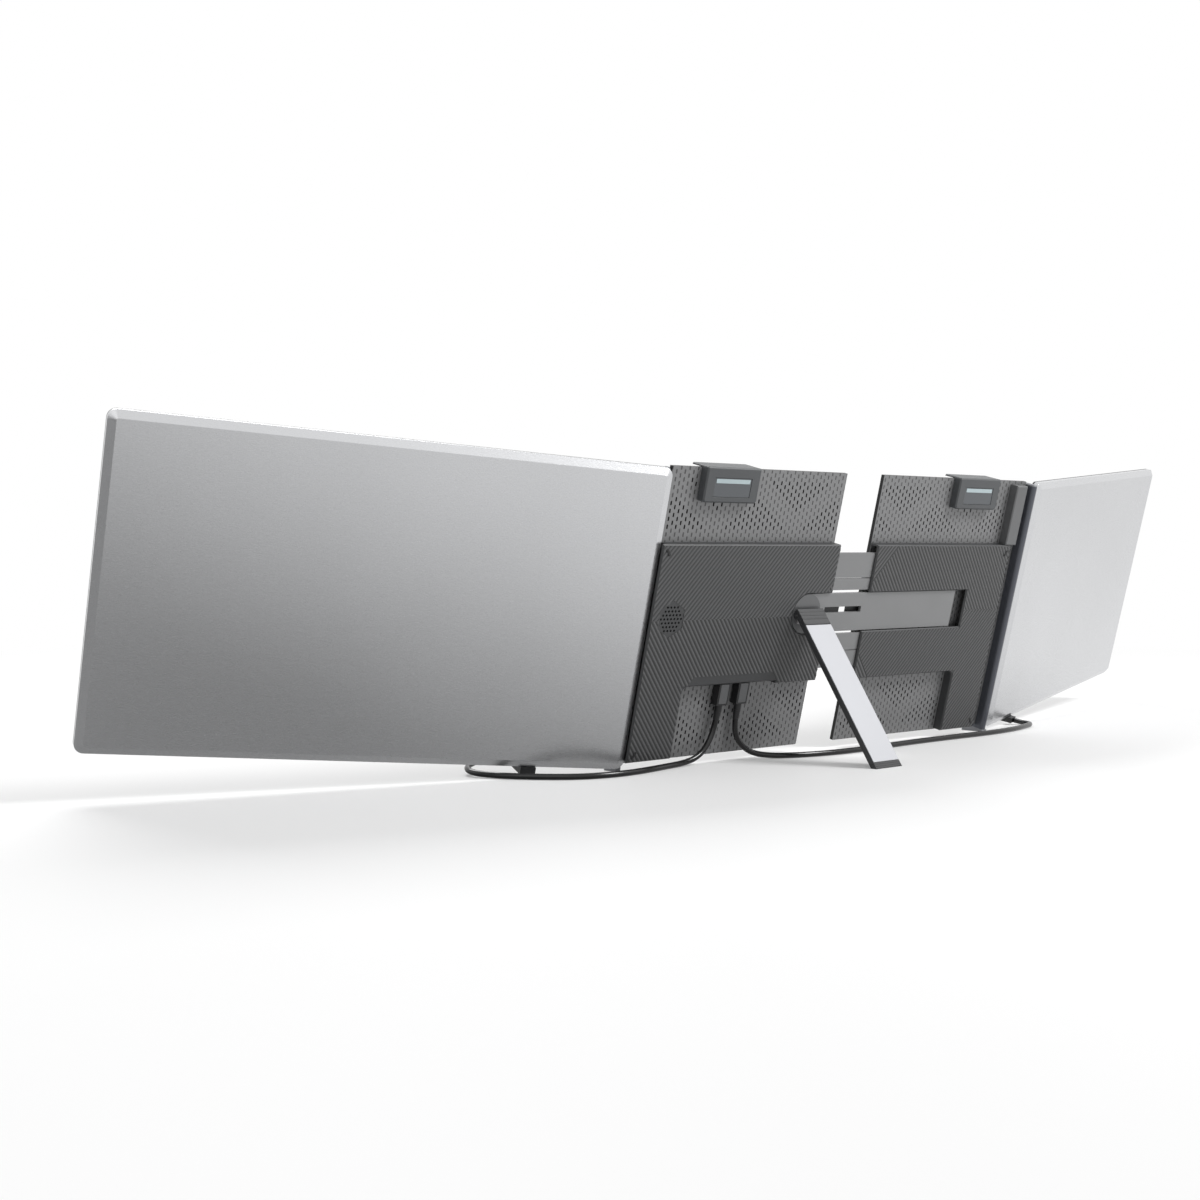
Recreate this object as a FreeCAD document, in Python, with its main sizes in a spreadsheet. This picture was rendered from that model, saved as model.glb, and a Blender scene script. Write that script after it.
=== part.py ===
import FreeCAD, Part
import math
import os
import re
from FreeCAD import Placement, Rotation, Vector

# Laptop screen extender: two screens hinged to a two-part back that slides apart, on a kickstand.
# Every shape is drawn in the back panel's own frame, seen from behind as it stands in use:
# x to the right, y up along the panel, z out of the back. Left and right are as seen from behind.
# x = 0 is midway between the two halves, y = 0 their bottom edge, z = 0 their back face.
# Each wing is drawn about its hinge axis, unfolded, and the leg about its pivot, lying flat.

doc = FreeCAD.newDocument("screen_extender")
sheet = doc.addObject("Spreadsheet::Sheet", "sizes")

SIZES = {
    # How it stands, in degrees and millimetres
    "lean_angle": 13.85,
    "floor_drop": 5.7,
    "fold_left": 18.75,
    "fold_right": 16.86,
    # Perforated plates and the soft linings on their front
    "half_gap": 21.4,
    "plate_top": 209.7,
    "plate_thick": 3.0,
    "lining_thick": 1.0,
    "lining_margin": 2.0,
    # Ribbed back covers
    "cover_proud": 7.5,
    "cover_wall": 1.4,
    "cover_top": 157.5,
    "cover_bevel": 0.8,
    "cover_corner": 5.0,
    "left_band_bottom": 53.0,
    "port_band_bottom": 55.0,
    "port_band_end": 66.0,
    "left_leg_inner": 161.5,
    "left_leg_bottom": 2.5,
    "cover_lip": 0.87,
    "left_wall_setback": 2.53,
    "left_plate_gap": 0.43,
    "right_band_bottom": 52.0,
    "right_cover_outer": 191.0,
    "right_leg_inner": 147.5,
    "right_leg_bottom": 1.0,
    "window_bottom": 89.9,
    "window_top": 120.5,
    "window_end": 143.5,
    "screw_inset": 4.5,
    "screw_radius": 1.6,
    # Perforation: hexagonal slots in alternate rows
    "slot_pitch": 8.13,
    "slot_row": 2.72,
    "slot_wide": 1.3,
    "slot_tall": 3.2,
    "slot_tip": 0.455,
    "slot_rows": 8,
    "slot_spacing": 5,
    "slot_apex_top": 187.0,
    "slot_apex_step": 2,
    "slot_band_step": 58,
    "slot_shift": 2.9,
    # Speaker and its grille
    "speaker_x": 185.0,
    "speaker_y": 105.0,
    "speaker_wide": 25.0,
    "speaker_tall": 20.0,
    "speaker_thick": 4.6,
    "cone_radius": 8.0,
    "grille_pitch": 3.2,
    "grille_hole": 0.95,
    "grille_rings": 3,
    # Board and the two sockets that face down
    "board_thick": 1.2,
    "board_lift": 0.6,
    "board_left": 158.0,
    "board_right": 88.0,
    "board_top": 118.0,
    "chip_side": 12.0,
    "chip_thick": 1.0,
    "socket_wide": 9.4,
    "socket_thick": 3.6,
    "socket_deep": 5.0,
    "socket_wall": 0.35,
    "outer_socket_x": 118.5,
    "inner_socket_x": 98.5,
    "socket_z": 4.0,
    # Tongue, rails and the link that slides under the tongue
    "tongue_side_gap": 0.5,
    "tongue_root": 66.0,
    "tongue_end": 131.0,
    "tongue_slot_low": 105.0,
    "tongue_slot_high": 109.5,
    "tongue_slot_left": 25.0,
    "tongue_slot_right": 17.0,
    "rail_thick": 2.2,
    "rail_clear": 0.4,
    "upper_rail_low": 122.4,
    "upper_rail_split": 131.2,
    "upper_rail_high": 151.0,
    "lower_rail_low": 62.0,
    "lower_rail_split": 75.2,
    "lower_rail_high": 88.4,
    "rail_line": 0.7,
    "left_rail_root": 84.0,
    "left_rail_tip": 95.0,
    "right_rail_root": 120.0,
    "right_rail_tip": 62.0,
    "post_long": 14.0,
    "backing_low": 98.0,
    "backing_high": 116.0,
    "backing_thick": 1.3,
    "backing_end": 6.0,
    "link_start": 4.5,
    "link_end": 74.0,
    "slide_clear": 0.3,
    # Spring clips that hook over a lid
    "clip_left_x": 146.5,
    "clip_right_x": 134.5,
    "clip_wide": 53.0,
    "clip_bottom": 186.5,
    "clip_top": 210.0,
    "clip_proud": 6.5,
    "clip_wall": 1.6,
    "clip_corner": 2.5,
    "clip_top_corner": 1.2,
    "clip_bevel": 1.0,
    "clip_lip_thick": 1.4,
    "clip_reach": 9.5,
    "recess_wide": 36.0,
    "recess_low": 190.5,
    "recess_high": 204.0,
    "recess_depth": 0.6,
    "guide_stem": 12.0,
    "guide_bar": 40.0,
    "guide_bar_low": 204.4,
    "guide_bar_high": 206.4,
    "spring_spread": 14.0,
    "spring_radius": 1.5,
    "spring_wire": 0.35,
    # Kickstand
    "disc_x": 46.0,
    "disc_gap": 0.3,
    "disc_thick": 1.25,
    "post_radius": 4.0,
    "running_fit": 0.05,
    "washer_radius": 7.0,
    "washer_thick": 1.3,
    "leg_angle": 47.86,
    "leg_wide": 28.2,
    "leg_thick": 4.2,
    "leg_face": 3.3,
    "leg_hub_radius": 2.9,
    "leg_pin_radius": 1.2,
    "leg_hub_bottom": 10.5,
    "leg_strip_end": 124.2,
    "leg_foot_long": 12.0,
    "leg_pin_setback": 1.0,
    "bracket_thick": 1.0,
    "bracket_low": 7.25,
    "ear_spread": 8.0,
    "ear_wide": 3.0,
    "ear_play": 0.15,
    # Wings
    "wing_depth": 8.0,
    "wing_wall": 1.2,
    "wing_corner": 6.0,
    "wing_bevel": 5.0,
    "wing_bevel_depth": 2.8,
    "bezel_thick": 1.5,
    "fold_gap": 0.3,
    "screen_wide": 344.2,
    "screen_tall": 193.6,
    "screen_margin": 10.9,
    "screen_chin": 10.9,
    "screen_brow": 6.9,
    "glass_lap": 4.0,
    "glass_thick": 1.1,
    "light_thick": 1.9,
    "layer_gap": 0.1,
    "driver_start": 24.7,
    "driver_long": 120.0,
    "driver_tall": 18.0,
    "driver_thick": 1.0,
    "left_edge": -2.0,
    "right_edge": 4.0,
    "left_drop": 2.72,
    "right_drop": 1.76,
    # Wing hinges: axis places, knuckles, pins and the fixed bars
    "left_axis_x": 203.13,
    "left_axis_z": -2.78,
    "right_axis_x": 207.93,
    "right_axis_z": -5.94,
    "left_knuckle": 2.4,
    "right_knuckle": 3.0,
    "left_pin": 1.2,
    "right_pin": 1.5,
    "hinge_low": 28.0,
    "hinge_high": 150.0,
    "hinge_span": 30.0,
    "hinge_end_gap": 0.3,
    "pin_grip": 6.0,
    "bar_bottom": -2.2,
    "bar_top": 207.0,
    "left_web": 1.2,
    "left_rebate": 3.3,
    "left_boss_end": 4.7,
    "right_bar_half": 3.25,
    "right_bar_back": 5.0,
    "right_web_top": 9.7,
    "right_leaf_end": 10.6,
    "knuckle_clear": 0.25,
    "web_clear": 0.15,
    "cap_thick": 1.5,
    "foot_toe": 11.5,
    "foot_top": -3.2,
    "foot_tall": 9.0,
    "hinge_cover_left": 184.0,
    "hinge_cover_right": 198.0,
    # Leads, their plugs and the wings' sockets
    "cord_radius": 2.1,
    "plug_wide": 11.0,
    "plug_thick": 6.0,
    "plug_bottom": 39.0,
    "plug_gap": 0.2,
    "sleeve_radius": 2.75,
    "sleeve_end": 34.0,
    "tip_wide": 8.4,
    "tip_thick": 2.6,
    "tip_long": 4.4,
    "left_port_along": 68.0,
    "right_port_along": 66.0,
    "left_plug_tall": 5.2,
    "right_plug_tall": 4.5,
    "left_plug_back": 8.0,
    "left_plug_front": -12.0,
    "right_plug_front": 6.5,
    "right_plug_back": 16.0,
    # Buttons on the wings' bottom edge
    "button_along": 100.0,
    "button_long": 8.0,
    "button_wide": 2.2,
    "button_deep": 2.6,
    "button_proud": 0.5,
    "button_play": 0.15,
    "button_flange": 0.8,
}

# Sizes that follow from the ones above, as formulas of them
FOLLOWS = {
    "wing_width": "screen_wide + 2*screen_margin",
    "wing_height": "screen_chin + screen_tall + screen_brow",
    "cover_back": "cover_proud - cover_wall",
    "left_plate_end": "left_axis_x - left_knuckle - left_plate_gap",
    "right_plate_end": "right_axis_x - right_bar_half",
    "left_cover_end": "left_axis_x + cover_lip",
    "left_wall_end": "left_axis_x - left_wall_setback",
    "front_face": "-(plate_thick + lining_thick)",
    "tongue_low": "window_bottom + tongue_side_gap",
    "tongue_high": "window_top - tongue_side_gap",
    "rail_face": "cover_back - rail_clear",
    "rail_foot": "rail_face - rail_thick",
    "disc_y": "(window_bottom + window_top)/2",
    "disc_radius": "(window_top - window_bottom)/2 - disc_gap",
    "disc_face": "rail_face + layer_gap + disc_thick",
    "pivot_z": "disc_face + layer_gap + leg_hub_radius",
    "socket_y": "port_band_bottom + cover_wall + layer_gap",
    "spring_low": "clip_bottom + clip_wall",
    "left_back": "left_axis_z - front_face + fold_gap + wing_depth",
    "right_back": "right_axis_z - front_face + 2*fold_gap + 2*wing_depth",
}

# Plain numbers: how close two places count as the same, how far a slab reaches under the floor,
# how much of a run each arc of a tube takes, and the row height of a hexagonal pattern
NEAR = 0.01
FLOOR_REACH = 400.0
ARC_SHARE = 0.45
HEX_ROW = round(math.sqrt(3) / 2, 4)

for row, (alias, value) in enumerate(SIZES.items(), start=1):
    sheet.set(f"A{row}", alias)
    sheet.set(f"B{row}", str(value))
    sheet.setAlias(f"B{row}", alias)
doc.recompute()


def formula(text):
    """Spell a formula out in the sheet's own cells."""
    def spell(match):
        word = match.group(0)
        if word in FOLLOWS:
            return "(" + formula(FOLLOWS[word]) + ")"
        return "sizes." + word if word in SIZES else word
    return re.sub(r"[a-z_]+[a-z0-9_]*", spell, str(text))


def size(text):
    """The number that a formula gives."""
    return float(sheet.evalExpression(formula(text)))


def bind(thing, prop, text):
    thing.setExpression(prop, formula(text))


def bind_base(thing, x, y, z):
    for axis, text in zip("xyz", (x, y, z)):
        bind(thing, "Placement.Base." + axis, text)


def set_block(box, x, y, z):
    """Bind a box to span the pairs x, y and z."""
    for prop, (low, high) in zip(("Length", "Width", "Height"), (x, y, z)):
        bind(box, prop, f"({high}) - ({low})")
    bind_base(box, x[0], y[0], z[0])
    return box


TURN = {"x": Rotation(Vector(0, 1, 0), 90), "y": Rotation(Vector(1, 0, 0), -90), "z": Rotation()}


def set_rod(rod, radius, start, length, along):
    rod.Placement.Rotation = TURN[along]
    bind(rod, "Radius", radius)
    bind(rod, "Height", length)
    bind_base(rod, *start)
    return rod


# Plain solids and booleans

def block(name, x, y, z):
    return set_block(doc.addObject("Part::Box", name), x, y, z)


def rod(name, radius, start, length, along):
    return set_rod(doc.addObject("Part::Cylinder", name), radius, start, length, along)


def fuse(name, *shapes):
    joined = doc.addObject("Part::MultiFuse", name)
    joined.Shapes = list(shapes)
    return joined


def cut(name, base, *tools):
    for tool in tools:
        result = doc.addObject("Part::Cut", name)
        result.Base = base
        result.Tool = tool
        base = result
    return base


def group(name, *shapes):
    together = doc.addObject("Part::Compound", name)
    together.Links = list(shapes)
    return together


# PartDesign bodies, feature by feature

def body(name):
    return doc.addObject("PartDesign::Body", name)


def add_block(owner, name, x, y, z):
    return set_block(owner.newObject("PartDesign::AdditiveBox", name), x, y, z)


def cut_block(owner, name, x, y, z):
    return set_block(owner.newObject("PartDesign::SubtractiveBox", name), x, y, z)


def add_rod(owner, name, radius, start, length, along):
    return set_rod(owner.newObject("PartDesign::AdditiveCylinder", name), radius, start, length, along)


def cut_rod(owner, name, radius, start, length, along):
    return set_rod(owner.newObject("PartDesign::SubtractiveCylinder", name), radius, start, length, along)


def edges_where(owner, test):
    doc.recompute()
    return [f"Edge{i}" for i, edge in enumerate(owner.Shape.Edges, start=1) if test(edge.BoundBox)]


def round_edges(owner, name, radius, test):
    edges = edges_where(owner, test)
    base = owner.Tip
    rounded = owner.newObject("PartDesign::Fillet", name)
    rounded.Base = (base, edges)
    bind(rounded, "Radius", radius)


def bevel_edges(owner, name, across, down, test):
    edges = edges_where(owner, test)
    base = owner.Tip
    bevel = owner.newObject("PartDesign::Chamfer", name)
    bevel.Base = (base, edges)
    bevel.ChamferType = 1
    bind(bevel, "Size", across)
    bind(bevel, "Size2", down)


def upright_at(x, y):
    """Edges that run along z at the place x, y."""
    def test(box):
        near = abs(box.XMin - size(x)) < NEAR and abs(box.YMin - size(y)) < NEAR
        return near and box.XLength < NEAR and box.YLength < NEAR
    return test


def level_at(z):
    """Edges that lie in the plane at height z."""
    def test(box):
        return abs(box.ZMin - size(z)) < NEAR and abs(box.ZMax - size(z)) < NEAR
    return test


def cut_below_floor(owner, name, lean, drop):
    """Cut away what reaches below the floor, which is drop under the frame's origin and leans by lean."""
    reach = FLOOR_REACH
    slab = owner.newObject("PartDesign::SubtractiveBox", name)
    slab.Length = 2 * reach
    slab.Width = reach
    slab.Height = reach
    slab.Placement.Rotation = Rotation(Vector(1, 0, 0), -size(lean))
    bind_base(slab, -reach,
              f"-({drop})/cos({lean}) - {reach}*cos({lean}) - {reach / 2}*sin({lean})",
              f"{reach}*sin({lean}) - {reach / 2}*cos({lean})")


# Frames of the bodies

def panel_frame():
    return Placement(Vector(0, 0, size("floor_drop")), Rotation(180, 0, 90 + size("lean_angle")))


def wing_frame(side):
    word = "left" if side < 0 else "right"
    axis = Vector(side * size(f"{word}_axis_x"), 0, size(f"{word}_axis_z"))
    turn = Rotation(Vector(0, 1, 0), side * size(f"fold_{word}"))
    return panel_frame() * Placement(axis, turn)


def leg_frame():
    pivot = Vector(-size("disc_x"), size("disc_y"), size("pivot_z"))
    return panel_frame() * Placement(pivot, Rotation(Vector(1, 0, 0), -size("leg_angle")))


PANEL, LEFT_WING, RIGHT_WING, LEG = panel_frame(), wing_frame(-1), wing_frame(1), leg_frame()
pieces = {}


def piece(label, shape, frame):
    """Name a finished sub-part and keep the frame that it is drawn in."""
    if not shape.isDerivedFrom("PartDesign::Body") and shape.TypeId != "Part::Compound":
        shape = group(label + "_piece", shape)
    shape.Label = label
    pieces[label] = (shape, frame)
    return shape


def span(side, near, far):
    """A pair along x between two distances outward from the middle, on one side of it."""
    return (near, far) if side > 0 else (f"-({far})", f"-({near})")


# Perforated plates with their linings

def slot_centres(side):
    """Centres of the slots: triangles that point up and down by turns, in two bands."""
    pitch, row = size("slot_pitch"), size("slot_row")
    between = size("slot_spacing") * pitch
    reach = math.ceil(size("right_plate_end") / between)
    first = 1 if side < 0 else 0
    for band in (0, 1):
        for turn in range(-reach, reach + 1):
            pointing_up = (turn + band + first) % 2 == 0
            apex_x = size("slot_shift") + pitch + turn * between
            apex_row = band * size("slot_band_step") + (0 if pointing_up else size("slot_apex_step"))
            apex_y, grow = size("slot_apex_top") - apex_row * row, -row if pointing_up else row
            for line in range(int(size("slot_rows"))):
                for place in range(line + 1):
                    yield apex_x + (place - line / 2) * pitch, apex_y + line * grow


def slot_wire(x, y, z):
    half_wide, half_tall = size("slot_wide") / 2, size("slot_tall") / 2
    shoulder = half_tall - size("slot_tip")
    outline = ((0, -half_tall), (half_wide, -shoulder), (half_wide, shoulder),
               (0, half_tall), (-half_wide, shoulder), (-half_wide, -shoulder))
    return Part.makePolygon([Vector(x + dx, y + dy, z) for dx, dy in outline + outline[:1]])


def plate(side):
    word = "left" if side < 0 else "right"
    inner, outer = size("half_gap"), size(f"{word}_plate_end")
    low, high = (-outer, -inner) if side < 0 else (inner, outer)
    depth = size("plate_thick")
    edge = size("slot_pitch") / 4 + size("slot_wide")
    rim = Part.makePolygon([Vector(x, y, -depth) for x, y in
                            ((low, 0), (high, 0), (high, size("plate_top")),
                             (low, size("plate_top")), (low, 0))])
    slots = [slot_wire(x, y, -depth) for x, y in slot_centres(side)
             if low + edge < x < high - edge]
    sheet_metal = doc.addObject("Part::Feature", f"plate_{word}_sheet")
    face = Part.makeFace([rim] + slots, "Part::FaceMakerBullseye")
    sheet_metal.Shape = face.extrude(Vector(0, 0, depth))
    piece(f"plate_{word}", sheet_metal, PANEL)

    lining = block(f"lining_{word}_slab",
                   span(side, "half_gap + lining_margin", f"{word}_plate_end - lining_margin"),
                   ("lining_margin", "plate_top - lining_margin"),
                   ("front_face", "-plate_thick"))
    piece(f"lining_{word}", lining, PANEL)


for side in (-1, 1):
    plate(side)


# Ribbed back cover of the left half, with the grille, the sockets' openings and the disc's notch

def grille_tool():
    holes = []
    rings = int(size("grille_rings"))
    for line in range(-rings, rings + 1):
        count = 2 * rings + 1 - abs(line)
        for place in range(count):
            hole = doc.addObject("Part::Prism", "grille_hole")
            hole.Polygon = 6
            bind(hole, "Circumradius", "grille_hole")
            bind(hole, "Height", "cover_proud")
            bind_base(hole, f"-speaker_x + ({place} - {count - 1}/2)*grille_pitch",
                      f"speaker_y + {line}*grille_pitch*{HEX_ROW}", "cover_back - cover_wall")
            holes.append(hole)
    return group("grille_holes", *holes)


def cover_left():
    owner = body("cover_left_body")
    add_block(owner, "left_band", ("-left_cover_end", "-half_gap"),
              ("left_band_bottom", "cover_top"), (0, "cover_proud"))
    add_block(owner, "left_leg", ("-left_cover_end", "-left_leg_inner"),
              ("left_leg_bottom", "left_band_bottom + cover_wall"), (0, "cover_proud"))
    cut_block(owner, "port_step", ("-left_leg_inner", "-port_band_end"),
              ("left_band_bottom - cover_wall", "port_band_bottom"), (-1, "cover_proud + 1"))
    cut_block(owner, "notch", ("-disc_x", 0), ("window_bottom", "window_top"),
              (-1, "cover_proud + 1"))
    cut_rod(owner, "notch_end", "disc_radius + disc_gap", ("-disc_x", "disc_y", -1),
            "cover_proud + 2", "z")
    round_edges(owner, "leg_corner", "cover_corner", upright_at("-left_leg_inner", "port_band_bottom"))
    bevel_edges(owner, "left_bevel", "cover_bevel", "cover_bevel", level_at("cover_proud"))
    cut_block(owner, "left_hollow", ("cover_wall - left_wall_end", "-half_gap + 1"),
              ("port_band_bottom + cover_wall", "cover_top - cover_wall"), (-1, "cover_back"))
    cut_block(owner, "leg_hollow", ("cover_wall - left_wall_end", "-left_leg_inner - cover_wall"),
              ("left_leg_bottom + cover_wall", "port_band_bottom + 2*cover_wall"), (-1, "cover_back"))
    cut_block(owner, "under_lip", ("-left_cover_end - 1", "-left_wall_end"), (0, "cover_top + 1"),
              (-1, "cover_back"))
    for name in ("outer", "inner"):
        cut_block(owner, f"{name}_opening",
                  (f"-{name}_socket_x - socket_wide/2", f"-{name}_socket_x + socket_wide/2"),
                  ("left_band_bottom", "port_band_bottom + 2*cover_wall"),
                  ("socket_z - socket_thick/2", "socket_z + socket_thick/2"))
    piece("cover_left", cut("cover_left_shape", owner, grille_tool()), PANEL)


def cover_right():
    owner = body("cover_right_body")
    add_block(owner, "right_band", ("half_gap", "right_cover_outer"),
              ("right_band_bottom", "cover_top"), (0, "cover_proud"))
    add_block(owner, "right_leg", ("right_leg_inner", "right_cover_outer"),
              ("right_leg_bottom", "right_band_bottom + cover_wall"), (0, "cover_proud"))
    cut_block(owner, "window", ("half_gap - 1", "window_end"), ("window_bottom", "window_top"),
              (-1, "cover_proud + 1"))
    round_edges(owner, "leg_corner_right", "cover_corner",
                upright_at("right_leg_inner", "right_band_bottom"))
    bevel_edges(owner, "right_bevel", "cover_bevel", "cover_bevel", level_at("cover_proud"))
    cut_block(owner, "right_hollow", ("half_gap - 1", "right_cover_outer - cover_wall"),
              ("right_band_bottom + cover_wall", "cover_top - cover_wall"), (-1, "cover_back"))
    cut_block(owner, "leg_hollow_right", ("right_leg_inner + cover_wall", "right_cover_outer - cover_wall"),
              ("right_leg_bottom + cover_wall", "right_band_bottom + 2*cover_wall"), (-1, "cover_back"))
    piece("cover_right", owner, PANEL)


cover_left()
cover_right()


def cover_screws(side):
    """Screws in the covers' outer corners, from the cover's inside down into the plate's face."""
    word = "left" if side < 0 else "right"
    outer = "left_wall_end" if side < 0 else "right_cover_outer"
    posts = []
    for where in (f"{word}_leg_bottom + screw_inset", "cover_top - screw_inset"):
        x = f"{side}*({outer} - screw_inset)"
        posts.append(rod("cover_screw", "screw_radius", (x, where, 0), "cover_back", "z"))
    piece(f"cover_screws_{word}", group(f"cover_screws_{word}_set", *posts), PANEL)


cover_screws(-1)
cover_screws(1)


def hinge_cover():
    owner = body("hinge_cover_body")
    add_block(owner, "hinge_cover_block", ("hinge_cover_left", "hinge_cover_right"),
              ("cover_top + layer_gap", "bar_top"), (0, "cover_proud"))
    bevel_edges(owner, "hinge_cover_bevel", "cover_bevel", "cover_bevel", level_at("cover_proud"))
    piece("hinge_cover", owner, PANEL)


hinge_cover()


# What the left cover holds

def speaker():
    case = block("speaker_case", ("-speaker_x - speaker_wide/2", "-speaker_x + speaker_wide/2"),
                 ("speaker_y - speaker_tall/2", "speaker_y + speaker_tall/2"), (0, "speaker_thick"))
    cone = rod("speaker_cone", "cone_radius", ("-speaker_x", "speaker_y", "speaker_thick"),
               "cover_back - speaker_thick - layer_gap", "z")
    piece("speaker", fuse("speaker_shape", case, cone), PANEL)


# Lower left corners of the board's chips, counted in chip sides from the board's own corner
CHIP_PLACES = ((0.5, 1.5), (2.5, 2.5), (4.0, 3.6))


def main_board():
    board = block("board_slab", ("-board_left", "-board_right"), ("socket_y", "board_top"),
                  ("board_lift", "board_lift + board_thick"))
    seats = [rod("board_post", "screw_radius", (x, "board_top - 2*screw_inset", 0), "board_lift", "z")
             for x in ("-board_left + screw_inset", "-board_right - screw_inset")]
    chips = [block("board_chip", (f"-board_left + {x}*chip_side", f"-board_left + {x + 1}*chip_side"),
                   (f"socket_y + {y}*chip_side", f"socket_y + {y + 1}*chip_side"),
                   ("board_lift + board_thick", "board_lift + board_thick + chip_thick"))
             for x, y in CHIP_PLACES]
    piece("main_board", fuse("main_board_shape", board, *seats, *chips), PANEL)


def socket_shell(name, x, y, z):
    """A hollow socket, open at its low end along y."""
    shell = block(name + "_shell", (x[0], x[1]), y, z)
    inside = block(name + "_inside", (f"({x[0]}) + socket_wall", f"({x[1]}) - socket_wall"),
                   (f"({y[0]}) - 1", f"({y[1]}) - socket_wall"),
                   (f"({z[0]}) + socket_wall", f"({z[1]}) - socket_wall"))
    return cut(name, shell, inside)


def sockets():
    shells = []
    for name in ("outer", "inner"):
        shells.append(socket_shell(
            f"{name}_socket",
            (f"-{name}_socket_x - socket_wide/2", f"-{name}_socket_x + socket_wide/2"),
            ("socket_y", "socket_y + socket_deep"),
            ("socket_z - socket_thick/2", "socket_z + socket_thick/2")))
    piece("usb_sockets", group("usb_sockets_set", *shells), PANEL)


speaker()
main_board()
sockets()


# Tongue, rails and what slides between the halves

def tongue():
    plate_part = block("tongue_plate", ("-tongue_root", "tongue_end"), ("tongue_low", "tongue_high"),
                       ("rail_foot", "rail_face"))
    slot = block("tongue_slot", ("-tongue_slot_left", "tongue_slot_right"),
                 ("tongue_slot_low", "tongue_slot_high"), ("rail_foot - 1", "rail_face + 1"))
    bore = rod("tongue_bore", "post_radius + running_fit", ("-disc_x", "disc_y", "rail_foot - 1"),
               "rail_thick + 2", "z")
    feet = [block("tongue_foot", ("-tongue_root", "-tongue_root + post_long/2"), y, (0, "rail_foot"))
            for y in (("tongue_low", "tongue_low + post_long/2"),
                      ("tongue_high - post_long/2", "tongue_high"))]
    piece("tongue", fuse("tongue_shape", cut("tongue_cut", plate_part, slot, bore), *feet), PANEL)

    backing = block("backing_slab", ("-disc_x + washer_radius + 1", "-backing_end"),
                    ("backing_low", "backing_high"), ("rail_foot - backing_thick", "rail_foot"))
    piece("tongue_backing", backing, PANEL)

    bar = block("link_bar", ("link_start", "link_end"), ("backing_low", "backing_high"),
                ("slide_clear", "slide_clear + backing_thick"))
    seat = block("link_seat", ("link_end - post_long", "link_end"), ("backing_low", "backing_high"),
                 (0, "slide_clear"))
    piece("slide_link", fuse("slide_link_shape", bar, seat), PANEL)


def rail(label, x, y, foot_x):
    bar = block(label + "_bar", x, y, ("rail_foot", "rail_face"))
    foot = block(label + "_foot", foot_x, y, (0, "rail_foot"))
    piece(label, fuse(label + "_shape", bar, foot), PANEL)


def rails():
    left_x = ("-left_rail_root", "left_rail_tip")
    left_foot = ("-left_rail_root", "-left_rail_root + post_long")
    right_x = ("-right_rail_tip", "right_rail_root")
    right_foot = ("right_rail_root - post_long", "right_rail_root")
    rail("rail_upper_left", left_x, ("upper_rail_low", "upper_rail_split"), left_foot)
    rail("rail_lower_left", left_x, ("lower_rail_split", "lower_rail_high"), left_foot)
    rail("rail_upper_right", right_x, ("upper_rail_split + rail_line", "upper_rail_high"), right_foot)
    rail("rail_lower_right", right_x, ("lower_rail_low", "lower_rail_split - rail_line"), right_foot)


tongue()
rails()


# Spring clips

def clip(side):
    word = "left" if side < 0 else "right"
    middle = f"{side}*clip_{word}_x"
    across = (f"{middle} - clip_wide/2", f"{middle} + clip_wide/2")
    owner = body(f"clip_{word}_body")
    add_block(owner, f"clip_{word}_case", across, ("clip_bottom", "clip_top"),
              ("layer_gap", "clip_proud"))
    add_block(owner, f"clip_{word}_lip", across, ("clip_top", "clip_top + clip_lip_thick"),
              ("-clip_reach", "clip_proud"))
    for x in across:
        round_edges(owner, f"clip_{word}_corner", "clip_corner", upright_at(x, "clip_bottom"))
        round_edges(owner, f"clip_{word}_top_corner", "clip_top_corner",
                    upright_at(x, "clip_top + clip_lip_thick"))
    bevel_edges(owner, f"clip_{word}_bevel", "clip_bevel", "clip_bevel", level_at("clip_proud"))
    cut_block(owner, f"clip_{word}_hollow",
              (f"{across[0]} + clip_wall", f"{across[1]} - clip_wall"),
              ("clip_bottom + clip_wall", "clip_top - clip_wall/2"),
              (-1, "clip_proud - recess_depth - clip_wall/2"))
    cut_block(owner, f"clip_{word}_stem_way",
              (f"{middle} - guide_stem/2 - slide_clear", f"{middle} + guide_stem/2 + slide_clear"),
              ("clip_bottom - 1", "clip_bottom + 2*clip_wall"), (-1, "spring_radius*2 + slide_clear"))
    cut_block(owner, f"clip_{word}_recess",
              (f"{middle} - recess_wide/2", f"{middle} + recess_wide/2"),
              ("recess_low", "recess_high"), ("clip_proud - recess_depth", "clip_proud + 1"))
    piece(f"clip_{word}", owner, PANEL)

    stem = block(f"guide_{word}_stem", (f"{middle} - guide_stem/2", f"{middle} + guide_stem/2"),
                 ("clip_bottom", "guide_bar_high"), (0, "spring_radius*2"))
    bar = block(f"guide_{word}_bar", (f"{middle} - guide_bar/2", f"{middle} + guide_bar/2"),
                ("guide_bar_low", "guide_bar_high"), (0, "spring_radius*2 + layer_gap"))
    piece(f"clip_guide_{word}", fuse(f"guide_{word}_shape", stem, bar), PANEL)

    springs = []
    for place in (-1, 1):
        start = (f"{middle} + {place}*spring_spread", "spring_low", "spring_radius + 2*layer_gap")
        coil = rod("spring_outside", "spring_radius", start, "guide_bar_low - spring_low", "y")
        core = rod("spring_inside", "spring_radius - spring_wire", start,
                   "guide_bar_low - spring_low", "y")
        springs.append(cut("clip_spring_tube", coil, core))
    piece(f"clip_springs_{word}", group(f"clip_springs_{word}_set", *springs), PANEL)


clip(-1)
clip(1)


# Kickstand: a disc that turns in the tongue, a bracket on it and the leg

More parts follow.
